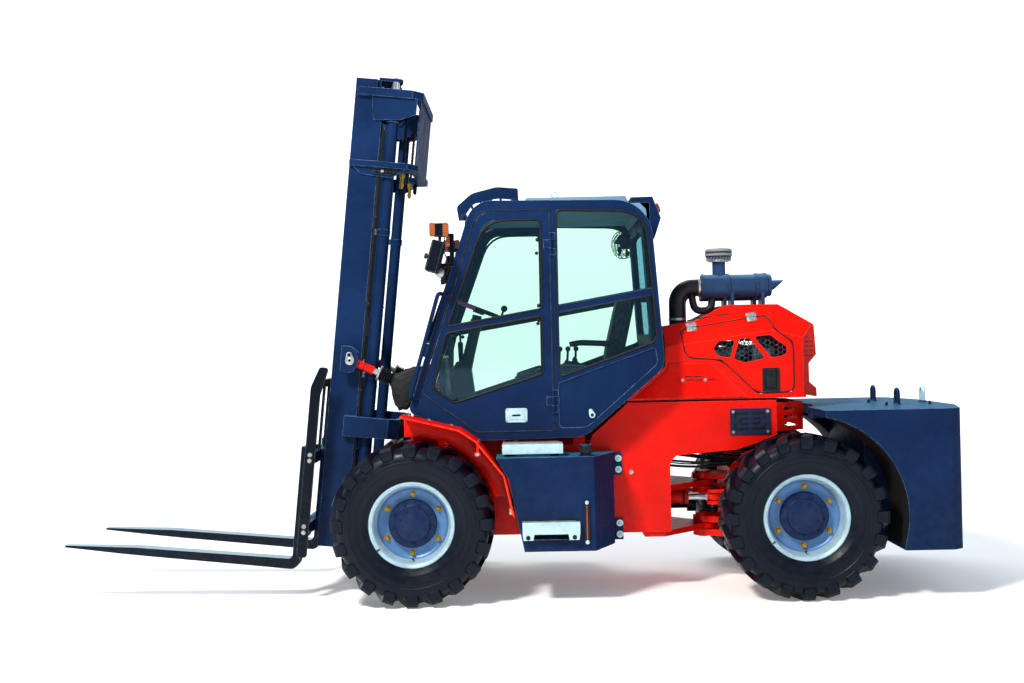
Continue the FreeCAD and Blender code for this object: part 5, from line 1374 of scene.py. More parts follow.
screen_bead = sweep(np.stack([-96 - 0.3494 * screen_edge[:, 1], screen_edge[:, 0],
                              1736 + 0.937 * screen_edge[:, 1]], 1), circle(8, 10), closed=True)
piece("front_and_rear_window_seals", [rear_bead, screen_bead], seal_rubber, sharp=60)

# %% [markdown]
# The glass is held by black screw caps near its corners. The outer door handle is a galvanised recessed pan:
# a plate with four screws, a raised rim and a finger slot. Inside, a long black lever opens the latch.

# %% Door hardware
CAPS = [(-424, 2372), (-862, 2410), (-290, 1348), (-866, 1532), (-862, 1868), (-280, 1776), (-862, 1966)]
caps = domes([(x, 631, z) for x, z in CAPS], 14, 9)
pan_edge = panel(-623, -770, 1182, 1278, 16)
slot_hole = oblong(-696, 1229, 58, 13)
pan_rim = panel(-644, -749, 1200, 1260, 12)
handle = joined([plate(pan_edge, 4, side(648), [slot_hole], 1), plate(pan_rim, 5, side(651), [slot_hole], 2)])
slot_back = plate(pan_rim, 2, side(646.5))
handle_screws = domes([(x, 650, z) for x in (-634, -759) for z in (1191, 1269)], 5.5, 3)
lever = plate(soft_corners([(-240, 1738), (-284, 1738), (-280, 1600), (-276, 1502), (-250, 1502),
                            (-246, 1600)], 16), 15, side(612), (), 5)
lever_arm = tube([(-262, 612, 1722), (-262, 606, 1790), (-262, 604, 1815)], 9, 20, 10)
pull = tube([(-700, 604, 1478), (-700, 556, 1486), (-860, 556, 1536), (-860, 604, 1530)], 11, 24, 12)
fittings = joined([caps, slot_back, lever, lever_arm, pull])
for word, turned in SIDES:
    body = "door_" + word
    piece(body + "_black_fittings", turned(fittings), black_plastic, body)
    piece(body + "_handle_plate", turned(handle), bright_galvanised, body)
    piece(body + "_handle_screws", turned(handle_screws), zinc, body)
catch = plate(figure_eight((-1206, 1222), (-1196, 1252), 21, 12), 5, side(652),
              [circle(8, 14) + (-1206, 1222)], 1)
hub = lathe([(0, 0), (11, 0), (11, 7), (8, 9), (0, 9)], (-1206, 652, 1222), LEFT, 20)
pair("panel_lock_plates", catch, bright_galvanised)
pair("panel_lock_barrels", hub, black_plastic)

# %% [markdown]
# On each front pillar sit an indicator with amber ends and a working lamp. The lamp's box leans back, its
# glass has a bright reflector behind it, and a knob clamps it to the bracket. Under them is a small round
# side light.

# %% Lamps on the front pillars
LAMP_TILT = math.radians(-16)


def on_lamp(shapes):
    """From the lamp's own directions (forward, Y, up) to its place, leaning back by 16 degrees."""
    points, faces = as_one(shapes)
    c, s = math.cos(LAMP_TILT), math.sin(LAMP_TILT)
    x, y, z = points.T
    return np.stack([-180 + x * c + z * s, 760 + y, 2300 - x * s + z * c], 1), faces


def facing(x):
    """Place for a plate that faces forward at X: corners are (y, z)."""
    return lambda a, b: (x, a, b)


lamp_edge = panel(-78, 78, -88, 88, 14)
bezel = plate(panel(-93, 93, -103, 103, 18), 12, facing(36), [lamp_edge], 3)
reflector = on_lamp(plate(lamp_edge, 2, facing(35.5)))
lamp_glass = on_lamp(plate(lamp_edge, 3, facing(40), (), 1))
fins = [block(-44, -33, y - 2, y + 2, -80, 80, 1) for y in range(-72, 73, 18)]
knob = lathe([(0, 0), (10, 0), (10, 12), (20, 15), (20, 30), (15, 34), (0, 34)],
             (-140, 760, 2302), (1, 0, 0.27), 9)
marker_base = [block(-236, -206, 652, 676, 2120, 2176, 4), block(-232, -214, 652, 664, 2170, 2244, 2)]
cable = tube([(-236, 662, 2170), (-262, 668, 2220), (-250, 672, 2300), (-226, 668, 2350),
              (-240, 668, 2444)], 4, 40, 8)
pair("lamp_housings", [on_lamp([bezel]), knob, on_lamp(fins)] + marker_base + [cable], black_plastic)
marker = lathe([(0, 0), (24, 0), (31, 12), (33, 30), (28, 34), (0, 40)], (-212, 664, 2196), (0.4, 1, 0), 24)
pair("lamp_reflectors", [reflector, marker], zinc)
pair("lamp_glasses", lamp_glass, clear_lens)
signals = [block(-142, -180, 669, 755, 2437, 2529, 7), block(-232, -268, 669, 755, 2437, 2529, 7),
           block(-250, -274, 676, 712, 2372, 2437, 5)]
pair("amber_indicators", signals, amber)
lens_profile = [(0, 14), (34.6, 14), (34.8, 36), (30, 43), (18, 47), (0, 48)]
tail = lathe(lens_profile, (-1660, 480, 2612), (-38, 0, 14), 32)
pair("tail_lamp_lenses", tail, red_lens)

# %% [markdown]
# The roof guard's cheeks are slotted where the bars plug through, and each slot is drawn as a thin dark tab,
# a painted shade for its depth. Two bolts hold each foot. The roof skin has a lifting eye on each side, a
# ring of round bar welded to a small foot.

# %% Roof guard slots and lifting eyes
bar_ends = ((-345, 2660, -62), (-400, 2704, -40), (-465, 2738, -25), (-535, 2758, -14), (-605, 2766, -4),
            (-690, 2762, 4))
# Each slot is a thin dark tab on the cheek: painted shade for its depth.
slot_shade_tabs = [plate(oblong(0, 0, 22, 11, turn + 90) + (x, z), 2, side(528.4)) for x, z, turn in bar_ends]
pair("guard_bar_slot_shades", slot_shade_tabs, seal_rubber)
pair("guard_foot_bolts", bolts([(-716, 540, 2674), (-370, 540, 2580)], 9, 8), oily_steel, sharp=30)
eye = sweep(at_y(circle(19, 36) + (-985, 2729), 470), circle(6, 10), closed=True)
eye_foot = lathe([(0, 2704), (20, 2704), (18, 2710), (9, 2713), (0, 2713)], (-985, 470, 0), UP, 24)
pair("roof_lifting_eyes", [eye, eye_foot], bright_galvanised)

# %% [markdown]
# Inside the cab, the steering wheel's front half is wrapped in a magenta sleeve. The wrap is a slightly
# larger ring section over the CAD rim, closed at both ends.

# %% Steering wheel sleeve
WHEEL_TILT = math.radians(21.5)
WHEEL_CENTRE = np.array([-437.0, 0.0, 1963.0])
WHEEL_AXIS = np.array([-math.sin(WHEEL_TILT), 0.0, math.cos(WHEEL_TILT)])
WHEEL_AHEAD = np.array([WHEEL_AXIS[2], 0.0, -WHEEL_AXIS[0]])
a = np.linspace(math.radians(-82), math.radians(82), 41)[:, None]
path = WHEEL_CENTRE + 165 * (np.cos(a) * WHEEL_AHEAD + np.sin(a) * np.array([0, 1.0, 0]))
piece("steering_wheel_sleeve", sweep(path, circle(15.4, 14)), magenta_plastic, "wheel_of_steering", 60)
horn = lathe([(0, 6), (36, 6), (38, 10), (30, 16), (0, 18)], WHEEL_CENTRE, WHEEL_AXIS, 28)
piece("horn_button", horn, grey_plastic, "wheel_of_steering")

# %% [markdown]
# Levers have rubber gaiters and ball knobs, and the dash carries two round gauges and a row of rocker
# switches. A small fan for the driver hangs at the back, with a wire cage: rings and spokes of 4 mm wire
# round five blades.

# %% Levers, gauges and fan
GAITER = [(26, 0), (24, 10), (28, 18), (19, 28), (22, 36), (13, 48), (9, 56)]
gaiters = [lathe(GAITER, (-1130 + 60 * i, -360, 1552 - 20 * i), UP, 20) for i in range(3)]
dash = [block(-120, -190, -330, 330, 1612, 1640, 8)]
column_cover = sweep(np.array([(-322, 0, 1530), (-356, 0, 1640), (-395, 0, 1790), (-418, 0, 1890)], float),
                     np.array([(-46, -40), (46, -40), (58, 0), (46, 40), (-46, 40), (-58, 0)], float),
                     scale=[1.25, 1.0, 0.95, 1.1])
stalks = [tube([(-405, sign * 40, 1880), (-400, sign * 130, 1900), (-396, sign * 190, 1915)], 6, 20, 10)
          for sign in (1, -1)]
piece("column_and_gaiters", gaiters + dash + [column_cover] + stalks, black_plastic)
gauges = [lathe([(34, 0), (42, 0), (42, 9), (38, 11), (34, 9)], (-150, y, 1640), (-0.5, 0, 1), 32, ring=True)
          for y in (-90, 90)]
piece("dash_gauges", gauges, zinc)
FAN = np.array([-1475.0, 250.0, 2392.0])
across_u, across_v, out_w = basis((1, 0.9, -0.15))
cage = circle(1.0, 48) @ (across_u, across_v)
rings = [sweep(FAN + radius * cage + depth * out_w, circle(2.6, 8), closed=True)
         for radius, depth in ((96, 0), (96, 30), (72, 42), (46, 46), (24, 47), (80, -22))]
spokes = [tube([FAN + 80 * d - 22 * out_w, FAN + 97 * d, FAN + 97 * d + 30 * out_w, FAN + 72 * d + 43 * out_w,
                FAN + 12 * d + 48 * out_w], 2.2, 14, 6) for d in cage[::3]]
hub = lathe([(0, -48), (30, -48), (34, -30), (30, 20), (20, 30), (0, 31)], FAN, out_w, 24)
s, width = np.meshgrid(np.linspace(26, 84, 8), np.linspace(-0.5, 0.5, 6), indexing="ij")
blades = []
for k in range(5):
    angle = k * 2 * math.pi / 5 + width * 0.95
    surface = FAN + s[..., None] * (np.cos(angle)[..., None] * across_u + np.sin(angle)[..., None] * across_v)
    top, low = (surface + (width * 26 + lift)[..., None] * out_w for lift in (1.2, -1.2))
    blades.append(grid(np.concatenate([top, low[:, ::-1]], 1), close_v=True))
arm = tube([FAN - 40 * out_w, (-1560, 190, 2400), (-1575, 200, 2470), (-1570, 200, 2560)], 8, 30, 10)
piece("cab_fan", rings + spokes + [hub, arm] + blades, black_plastic, sharp=50)

# %% [markdown]
# The driver's seat is foam in a woven cover. Foam pushes outward against the cloth and the seams hold it
# back, which is what a cloth simulation with inner pressure gives: the form is remeshed evenly, swells for
# twenty steps, and no point may move further than a cap. The sewn channels are pressed in afterwards, because
# the remesh would lose them.

# %% Cushion maker
def soft_box(centre, half, lean=0.0, power=0.32, taper=0.0, steps=(40, 64)):
    """Superellipsoid: half size times sign(t) |t|^power of cosines and sines, leaning back about Y by lean
    degrees; taper makes it narrower towards its top."""
    lat = np.linspace(-math.pi / 2, math.pi / 2, steps[0])[:, None]
    lon = turns(steps[1])[None, :]
    x = half[0] * squarish(np.cos(lat), power) * squarish(np.cos(lon), power)
    y = half[1] * squarish(np.cos(lat), power) * squarish(np.sin(lon), power)
    z = half[2] * squarish(np.sin(lat), power) + 0 * lon
    y = y * (1 - taper * np.clip(z / half[2], -1, 1))
    c, s = math.cos(math.radians(lean)), math.sin(math.radians(lean))
    points = np.stack([x * c - z * s, y, x * s + z * c], -1) + np.asarray(centre, float)
    return outward(grid(points, close_v=True))


def swell(thing, pressure=4.0, cap=0.014, voxel=0.006):
    """Remesh evenly, then twenty frames of cloth under pressure; each point's move is cut to the cap."""
    remesh = thing.modifiers.new("even faces", "REMESH")
    remesh.mode = "VOXEL"
    remesh.voxel_size = voxel
    even = bpy.data.meshes.new_from_object(thing.evaluated_get(bpy.context.evaluated_depsgraph_get()))
    thing.modifiers.clear()
    thing.data = even
    start = read(even.vertices, "co", 3)
    cloth = thing.modifiers.new("foam", "CLOTH")
    cloth.settings.quality = 4
    cloth.settings.use_pressure = True
    cloth.settings.uniform_pressure_force = pressure
    cloth.settings.effector_weights.gravity = 0
    cloth.point_cache.frame_end = 20
    for frame_number in range(1, 21):
        bpy.context.scene.frame_set(frame_number)
    moved = read(thing.evaluated_get(bpy.context.evaluated_depsgraph_get()).data.vertices, "co", 3)
    thing.modifiers.clear()
    bpy.context.scene.frame_set(1)
    move = moved - start
    far = np.linalg.norm(move, axis=1)
    move *= (np.minimum(far, cap) / np.maximum(far, 1e-9))[:, None]
    print(thing.name, "points", len(start), "largest move",
          round(float(np.minimum(far, cap).max()) * 1000, 1), "mm")
    return start + move


def cushion(name, shape, channel_depth):
    """Swollen form with channels: channel_depth(points in mm) gives how far each point is drawn in along its
    normal."""
    thing = piece(name, shape, seat_cloth, sharp=70)
    points = swell(thing)
    thing.data.vertices.foreach_set("co", points.ravel())
    thing.data.update()
    normals = read(thing.data.vertex_normals, "vector", 3)
    points = points - normals * channel_depth(millimetres(points))[:, None] * 0.001
    thing.data.vertices.foreach_set("co", points.ravel())
    thing.data.update()
    thing.data.shade_smooth()
    thing.data.materials.clear()
    thing.data.materials.append(seat_cloth)
    smooth = thing.modifiers.new("smooth cover", "SUBSURF")
    smooth.levels = smooth.render_levels = 1
    return thing


def groove(distance, width=7.0):
    """1 on the sewn line, falling to 0 beside it: exp(-(d / width)^2)."""
    return np.exp(-(distance / width) ** 2)


# %% [markdown]
# The seat's cushion has a flat middle between two bolsters, with two channels across. The backrest leans back
# twelve degrees and narrows towards its top. Piping runs round the edge of both, and everything stands on a
# pedestal with a rubber bellows that hides the springs.

# %% Driver's seat
def channels(along, sides, lines, upper):
    """Depth of the sewn channels: two along the sides, and two across between them, on the upper side
    alone."""
    def depth(p):
        out = np.abs(p[:, 1])
        across = np.maximum(groove(p[:, along] - lines[0]), groove(p[:, along] - lines[1])) * (out < sides)
        return 9 * np.maximum(groove(out - sides), across) * upper(p)
    return depth


base = soft_box((-1180, 0, 1490), (198, 236, 42), 4, 0.3)
base_channels = channels(0, 150, (-1115, -1215), lambda p: p[:, 2] > 1490)
seat_cushion = cushion("seat_cushion", base, base_channels)
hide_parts("seat")
back = soft_box((-1432, 0, 1790), (46, 226, 262), 13, 0.34, 0.12)
back_channels = channels(2, 140, (1720, 1860), lambda p: p[:, 0] > -1432 - 0.23 * (p[:, 2] - 1790))
cushion("seat_back", back, back_channels)
x, y = squarish(circle(1.0, 96), 0.32).T
cushion_piping = sweep(np.stack([-1180 + 200 * x, 238 * y, 1478 + 14 * x], 1), circle(4.5, 8), closed=True)
y, z = squarish(circle(1.0, 96), 0.36).T
back_line = np.stack([-1440 - 0.225 * 264 * z, 229 * y * (1 - 0.12 * z), 1790 + 0.974 * 264 * z], 1)
back_piping = sweep(back_line, circle(4.5, 8), closed=True)
piece("seat_piping", [cushion_piping, back_piping], leather, sharp=60)
levels = np.linspace(0, 1, 29)
half = np.array([190.0, 170.0]) + 9 * np.cos(levels * 2 * math.pi * 6)[:, None]
ring = squarish(circle(1.0, 64), 0.35)
height = np.repeat(1300 + 138 * levels[:, None], 64, 1)
points = np.stack([-1190 + half[:, :1] * ring[:, 0], half[:, 1:] * ring[:, 1], height], -1)
bellows = outward(grid(points, close_v=True))
shell = [block(-1010, -1330, -208, 208, 1262, 1302, 10), block(-1000, -1370, -214, 214, 1436, 1452, 6)]
plinth = plate(soft_corners([(-1012, 1100), (-1140, 1100), (-1318, 1250), (-1326, 1270), (-1016, 1270)],
                            10), 400, side(0), (), 6)
piece("seat_pedestal", shell + [plinth, bellows], black_plastic)
shell_back = soft_box((-1482, 0, 1778), (14, 214, 250), 13, 0.3, 0.12)
arm = tube([(-1440, 248, 1640), (-1370, 262, 1700), (-1150, 262, 1712), (-1090, 262, 1700)], 20, 60, 12)
recliner = lathe([(0, 0), (44, 0), (44, 12), (30, 18), (0, 18)], (-1372, 234, 1520), LEFT, 24)
piece("seat_shell_and_arms", [shell_back, both(arm), both(recliner)], black_plastic, sharp=60)

# %% [markdown]
# The quarter windows are in two panes: a bar of folded steel crosses each opening, sloping up to the rear,
# with a rubber strip above and below it. The bar stands between the pane and the outer skin.

# %% Quarter window bars
BAR_START, BAR_END, BAR_Z, BAR_SLOPE = -984.0, -1640.0, 1939.0, 0.166


def bar_line(x, rise):
    """Height of a line along the bar: z = BAR_Z + slope * distance behind the opening's front, plus a
    rise."""
    return x, BAR_Z + BAR_SLOPE * (BAR_START - x) + rise


def sloping_strip(low, high, y_inner, y_outer):
    outline = [bar_line(BAR_START, low), bar_line(BAR_END, low), bar_line(BAR_END, high),
               bar_line(BAR_START, high)]
    return plate(outline, y_outer - y_inner, side((y_inner + y_outer) / 2), bevel=1.0)


pair("quarter_window_bars", sloping_strip(-23, 23, 631, 648), navy)
strips = joined([sloping_strip(23, 30, 631, 646.5), sloping_strip(-30, -23, 631, 646.5)])
pair("quarter_bar_seals", strips, seal_rubber)

# %% [markdown]
# Each tank hangs from two flange plates that are welded to its rear and bolted to the chassis. Large plain
# washers spread the load. A level gauge is let into the outer face: a glass tube in a black guard between two
# hollow bolts, tinted red-brown by the oil. The filler cap is moulded with ribs for the hand.

# %% Tank flanges, gauges and caps
FLANGE_BOLTS = [(-1386, 912), (-1386, 836), (-1388, 469), (-1388, 392)]
flanges = [plate(panel(-1338, -1412, low, high, 8), 14.5, side(458.75), bevel=1.0)
           for low, high in ((798, 944), (356, 500))]
pair("tank_flanges", flanges, navy)
washer = lathe([(0, 0), (21, 0), (23, 1.5), (23, 4), (12, 4), (12, 3), (0, 3)], ORIGIN, LEFT, 28)
spots = [(x, 466, z) for x, z in FLANGE_BOLTS]
pair("tank_flange_washers", at_places(washer, spots), bright_galvanised)
pair("tank_flange_bolts", bolts([(x, y + 3, z) for x, y, z in spots], 10, 9), zinc, sharp=30)

GAUGE_X, GAUGE_LOW, GAUGE_HIGH = -1146.0, 410.0, 668.0
rail = plate(panel(GAUGE_X - 15, GAUGE_X - 9, GAUGE_LOW - 8, GAUGE_HIGH + 8, 2), 16, side(928.5))
back = plate(panel(GAUGE_X - 15, GAUGE_X + 15, GAUGE_LOW - 14, GAUGE_HIGH + 14, 6), 4, side(922.5))
ends = [plate(oblong(GAUGE_X, z, 30, 30), 14, side(929)) for z in (GAUGE_LOW, GAUGE_HIGH)]
pair("level_gauge_guards", [at_places(rail, [ORIGIN, (24, 0, 0)]), back] + ends, black_plastic)
GLASS_END = GAUGE_HIGH - GAUGE_LOW - 12
glass_tube = lathe([(0, 12), (6.5, 12), (7, 14), (7, GLASS_END - 2), (6.5, GLASS_END), (0, GLASS_END)],
                   (GAUGE_X, 930, GAUGE_LOW), UP, 16)
pair("level_gauge_tubes", glass_tube, oil_red)
hollow_bolt = lathe([(0, 0), (13, 0), (13, 2), (10, 2), (10, 8), (7, 10), (0, 10)], ORIGIN, LEFT, 24)
pair("level_gauge_bolts", at_places(hollow_bolt, [(GAUGE_X, 936, z) for z in (GAUGE_LOW, GAUGE_HIGH)]),
     bright_galvanised)

CAP = (-1150, 860, 990)
crown = lathe([(0, -3), (43, -3), (45, 0), (45, 40), (40, 50), (30, 54), (0, 54)], CAP, UP, 48)
ribs = [sweep([(CAP[0] + x, CAP[1] + y, CAP[2] + height) for height in (3, 20, 38)], circle(2.6, 8))
        for x, y in circle(45.5, 24)]
neck_ring = lathe([(36, -24), (44, -24), (44, -14), (36, -14), (36, -24)], CAP, UP, 40)
pair("tank_filler_caps", [crown, neck_ring] + ribs, black_plastic)

# %% [markdown]
# The steps are folded from galvanised sheet. Each has a plain front plate, a tread of toothed bars that grip
# a muddy boot, and feet that are bolted through the tank's wall. The teeth of each bar are cut by a punch, 14
# mm apart.

# %% Steps
def toothed_bar(x0, x1, y, z_low, z_high, tooth=7.0, pitch=14.0):
    """Flat bar in the side view with square teeth on its upper edge."""
    count = int((x0 - x1) / pitch)
    starts = x0 - pitch * np.arange(count)
    teeth = [(x, z) for s in starts for x, z in ((s, z_high), (s - 5, z_high), (s - 7, z_high - tooth),
                                                 (s - 12, z_high - tooth))]
    return plate([(x1, z_low), (x0, z_low)] + teeth + [(x1, z_high - tooth)], 4, side(y))


def step_box(x0, x1, y0, y1, z_low, z_high):
    """Tread bars, two end plates and two cross rods between the tank and the front plate."""
    bars = [toothed_bar(x0 - 6, x1 + 6, y, z_high - 34, z_high) for y in np.linspace(y0 + 12, y1 - 14, 5)]
    ends = [block(x, x - 5, y0, y1 - 5, z_low, z_high - 7, 1) for x in (x0, x1 + 5)]
    rods = [lathe([(0, 0), (5, 0), (5, y1 - y0 - 6), (0, y1 - y0 - 6)], (x, y0 + 1, z_high - 22), LEFT, 10)
            for x in (x0 - 90, (x0 + x1) / 2, x1 + 90)]
    return bars + ends + rods


LOWER = (-724.0, -1098.0, 920.5, 956.0, 470.0, 556.0)
UPPER = (-600.0, -1000.0, 668.0, 850.0, 984.0, 1056.0)
treads = step_box(*LOWER) + step_box(*UPPER)
step_treads = pair("step_treads", treads, galvanised)
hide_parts("side_steps")
x0, x1, y0, y1, z0, z1 = LOWER
FOOT = z0 - 40
front_line = [(x0, z1 - 9), (x0, z0 - 2), (x0 - 6, FOOT), (x0 - 70, FOOT), (x0 - 76, z0 - 2),
              (x1 + 76, z0 - 2), (x1 + 70, FOOT), (x1 + 6, FOOT), (x1, z0 - 2), (x1, z1 - 9)]
fronts = [plate(front_line, 5, side(y1 + 2.5), bevel=1.0),
          block(x1 - 1, x1 + 62, y1 + 5, y1 + 7, z0 - 3, z1 - 14, 1)]
foot_bolts = bolts([(x, y1 + 5, z0 - 22) for x in (x0 - 36, x1 + 36)], 11, 9)
# A thin black plate fills the gap between the lower step's feet: painted shade.
supports_and_shade = [block(x0 - 8, x1 + 8, 920.2, y1 - 6, FOOT, FOOT + 5, 1)]
x0, x1, y0, y1, z0, z1 = UPPER
fronts.append(block(x0, x1, y1 - 5, y1, z0, z1 - 7, 2))
supports_and_shade += [block(x, x - 60, y0 + 10, y1 - 12, 966.4, z0, 2) for x in (x0 - 26, x1 + 86)]
pair("step_fronts", fronts, bright_galvanised)
pair("step_bolts", foot_bolts, oily_steel, sharp=30)
# The supports are black, which also paints the shade under each step.
pair("step_supports_and_shade", supports_and_shade, black)

# %% [markdown]
# A plug closes a tapped hole in each chassis plate. Between the two frames, pressure hoses and a few cables
# cross the hinge just under the engine. They are longer than the gap and hang in shallow loops, so that the
# frames can turn 35 degrees each way; both ends are clamped, one on each frame. A black block shares out the
# steering oil.

# %% Hinge bay
plug = lathe([(0, 0), (17, 0), (17, 3), (12, 4), (12, 12), (6, 12), (5, 7), (0, 7)],
             (-1474, 450, 814), LEFT, 6)
pair("chassis_plugs", plug, zinc, sharp=30)


def crossing(y_front, y_rear, z_front, z_rear, sag, radius, x_front=-1560.0, x_rear=-2330.0):
    """Hose along a smooth course: z falls from front to rear, plus a loop that hangs as a sine, deepest over
    the hinge; Y moves over by the same smooth step."""
    t = np.linspace(0, 1, 30)
    ease = t * t * (3 - 2 * t)
    x = x_front + (x_rear - x_front) * t
    y = y_front + (y_rear - y_front) * ease
    z = z_front + (z_rear - z_front) * ease - sag * np.sin(math.pi * t) ** 2
    return sweep(np.stack([x, y, z], 1), circle(radius, 12))


HOSES = [(230, 215, 850, 846, 26, 9), (180, 250, 880, 852, 14, 8), (120, 60, 925, 846, 0, 12),
         (40, 130, 905, 850, -14, 9), (-60, -90, 918, 842, 0, 10), (-150, -210, 890, 858, -25, 9),
         (205, 90, 940, 852, 10, 6), (90, 235, 955, 866, -10, 5), (-20, 20, 860, 858, 38, 5)]
hoses = piece("hinge_hoses", [crossing(*numbers) for numbers in HOSES], hose_rubber, None, 60)
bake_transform(hoses)
rear_block = [block(-2330, -2400, -240, 262, 832, 872, 4), block(-2335, -2395, -120, 120, 800, 834, 4)]
piece("rear_hose_block", rear_block, cast_black, "rear_frame")
front_block = [block(-1500, -1570, -200, 250, 832, 968, 5)]
ferrules = [lathe([(0, 0), (r + 4, 0), (r + 5, 4), (r + 5, 34), (r + 1, 44), (0, 44)], (-1568, y, z),
                  (-1, 0, 0), 16) for y, _, z, _, _, r in HOSES]
piece("front_hose_block", front_block, cast_black)
piece("front_hose_ferrules", ferrules, zinc)
ties = [lathe([(30, -7), (34, -7), (34, 7), (30, 7), (30, -7)], (-2338, y, z), AHEAD, 20)
        for y, z in ((205, 845), (-90, 842))]
piece("rear_hose_clamps", ties, oily_steel, "rear_frame")

# %% [markdown]
# Each steering rod ends in a socket that is sprayed red with the frame, and a forged eye turns on a pin
# between two brackets. Each pin has a head with a grease nipple.

# %% Steering rod ends and hinge hardware
STEER_EYE = np.array([-2080.0, 200.0, 607.0])
STEER_FRONT = np.array([-1420.0, 190.0, 607.0])
steer_axis = (STEER_EYE - STEER_FRONT) / np.linalg.norm(STEER_EYE - STEER_FRONT)
socket_profile = [(23, 36), (29, 36), (29, 58), (26, 61), (23, 61), (23, 36)]
eye_ring = [(23, -25.6), (38, -25.6), (41, -22), (41, 22), (38, 25.6), (23, 25.6), (23, -25.6)]
rod_end = joined([lathe(socket_profile, STEER_EYE, -steer_axis, 28), lathe(eye_ring, STEER_EYE, UP, 36)])
gland_ring = lathe([(46, 428), (49, 428), (49, 444), (46, 446), (46, 428)], STEER_FRONT, steer_axis, 36)
for word, turned in SIDES:
    piece(word + "_steer_rod_end", turned(rod_end), dark_red, "steer_rod_" + word)
    piece(word + "_steer_gland", turned(gland_ring), cast_black, "steer_cylinder_" + word)
nipple = lathe([(0, 0), (6, 0), (6, 5), (3.5, 6), (3.5, 11), (5, 13), (3, 17), (0, 17)], ORIGIN, UP, 10)
pin_head = lathe([(0, 0), (30, 0), (30, 6), (26, 10), (0, 10)], ORIGIN, UP, 24)
pins = at_places(joined([pin_head, at_places(nipple, [(0, 0, 9)])]),
                 [(STEER_EYE[0], y, 658) for y in (200, -200)])
piece("steering_pin_heads", pins, oily_steel, "rear_frame")

# %% [markdown]
# The wheel arches in the cast counterweight are sealed with thick matt black underseal against stones. The
# rear lifting eye is galvanised, the other two are sprayed with the casting, and each is welded on with a
# fillet all round. The casting itself is the CAD one up to its flat top, since the eyes stand further back
# than CAD has them.

# %% Counterweight
ARCH_RADIUS = 655.0
a = np.radians(np.linspace(-18, 77, 40))
arch = (ARCH_RADIUS - 3.2) * np.stack([-np.cos(a), np.sin(a)], 1) + (REAR_AXLE_X, AXLE_Z + 10)
liner = sweep(at_y(arch, 733), [(-211, -2.4), (211, -2.4), (211, 2.4), (-211, 2.4)])
pair("arch_underseal", liner, underseal, "rear_frame", 60)
EYES = [(-3345, 300), (-3335, -300), (-3610, 0)]
EYE_FOOT, EYE_HALF = 1235.0, 34


def below(node, height):
    """The CAD node's triangles whose corners all lie under a height, as a shape in millimetres."""
    mesh = nodes[node].data
    mesh.calc_loop_triangles()
    points = millimetres(read(mesh.vertices, "co", 3))
    corners = read(mesh.loop_triangles, "vertices", 3, int)
    kept = corners[(points[corners][:, :, 2] < height).all(axis=1)]
    used, renumbered = np.unique(kept, return_inverse=True)
    return points[used], [renumbered.reshape(-1, 3)]


casting = piece("cast_counterweight", below("counterweight", EYE_FOOT + 0.3), navy, "rear_frame")
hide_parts("counterweight")


def eye_bar(x, y, radius):
    """Bar bent into an eye: two uprights and a half circle over them."""
    top = [(x, y - EYE_HALF * math.cos(t), EYE_FOOT + 72 + EYE_HALF * math.sin(t))
           for t in np.linspace(0, math.pi, 12)]
    return sweep([(x, y - EYE_HALF, EYE_FOOT)] + top + [(x, y + EYE_HALF, EYE_FOOT)], circle(radius, 16))


bars = [eye_bar(x, y, 13) for x, y in EYES]
piece("sprayed_lifting_eyes", bars[:2], navy, "rear_frame", 60)
piece("galvanised_lifting_eye", bars[2], bright_galvanised, "rear_frame", 60)
fillet = lathe([(0, 0), (24, 0), (20, 5), (15, 12), (0, 12)], ORIGIN, UP, 24)
feet = [(x, y + way * EYE_HALF, EYE_FOOT) for x, y in EYES for way in (-1, 1)]
piece("lifting_eye_welds", at_places(fillet, feet), cast_navy, "rear_frame")
plug = lathe([(0, 0), (14, 0), (14, 4), (9, 6), (9, 20), (4, 24), (0, 24)], ORIGIN, UP, 20)
PLUGS = [(-3240, 420, EYE_FOOT), (-3560, 340, EYE_FOOT), (-3240, -60, EYE_FOOT)]
piece("casting_plugs", at_places(plug, PLUGS), cast_black, "rear_frame")
seam = [sweep([(-2712, y, 1165), (-2712, y, 1228)], circle(4, 8)) for y in (-500, 500)]
piece("casting_seams", seam, cast_navy, "rear_frame")

# %% [markdown]
# The tailpipe is cut on the slant, with its long lip on top to keep rain out. Each ring of points lies on the
# pipe, drawn back by an amount that grows with its height.

# %% Tailpipe tip
def slash_pipe(x_start, x_low, x_high, y, z, outer, inner, steps=32):
    """Pipe whose end is a slanted plane: the end's X runs evenly from x_low at its bottom to x_high at its
    top."""
    a = turns(steps)
    rows = []
    for radius, fixed in ((outer, x_start), (outer, None), (inner, None), (inner, x_start)):
        height = radius * np.sin(a)
        x = x_low + (x_high - x_low) * (height / outer + 1) / 2
        if fixed is not None:
            x = np.full(steps, fixed)
        rows.append(np.stack([x, y + radius * np.cos(a), z + height], 1))
    return outward(grid(np.array(rows), close_u=True, close_v=True))


piece("tailpipe_tip", slash_pipe(-2500.0, -2585.0, -2668.0, -170.0, 2105.0, 37.0, 34.4),
      filter_blue, sharp=40)
print("tanks, steps, hinge bay, counterweight and tailpipe done")

# %% [markdown]
# The stage is a pale floor that runs up into a wall, lit like a studio: a key lamp 1.6 m wide above and in
# front, a weak fill from the other end, a soft light behind, and an even pale sky. The camera stands level
# with the hood, about nine metres off, with a slightly long lens, so the sides look almost parallel.

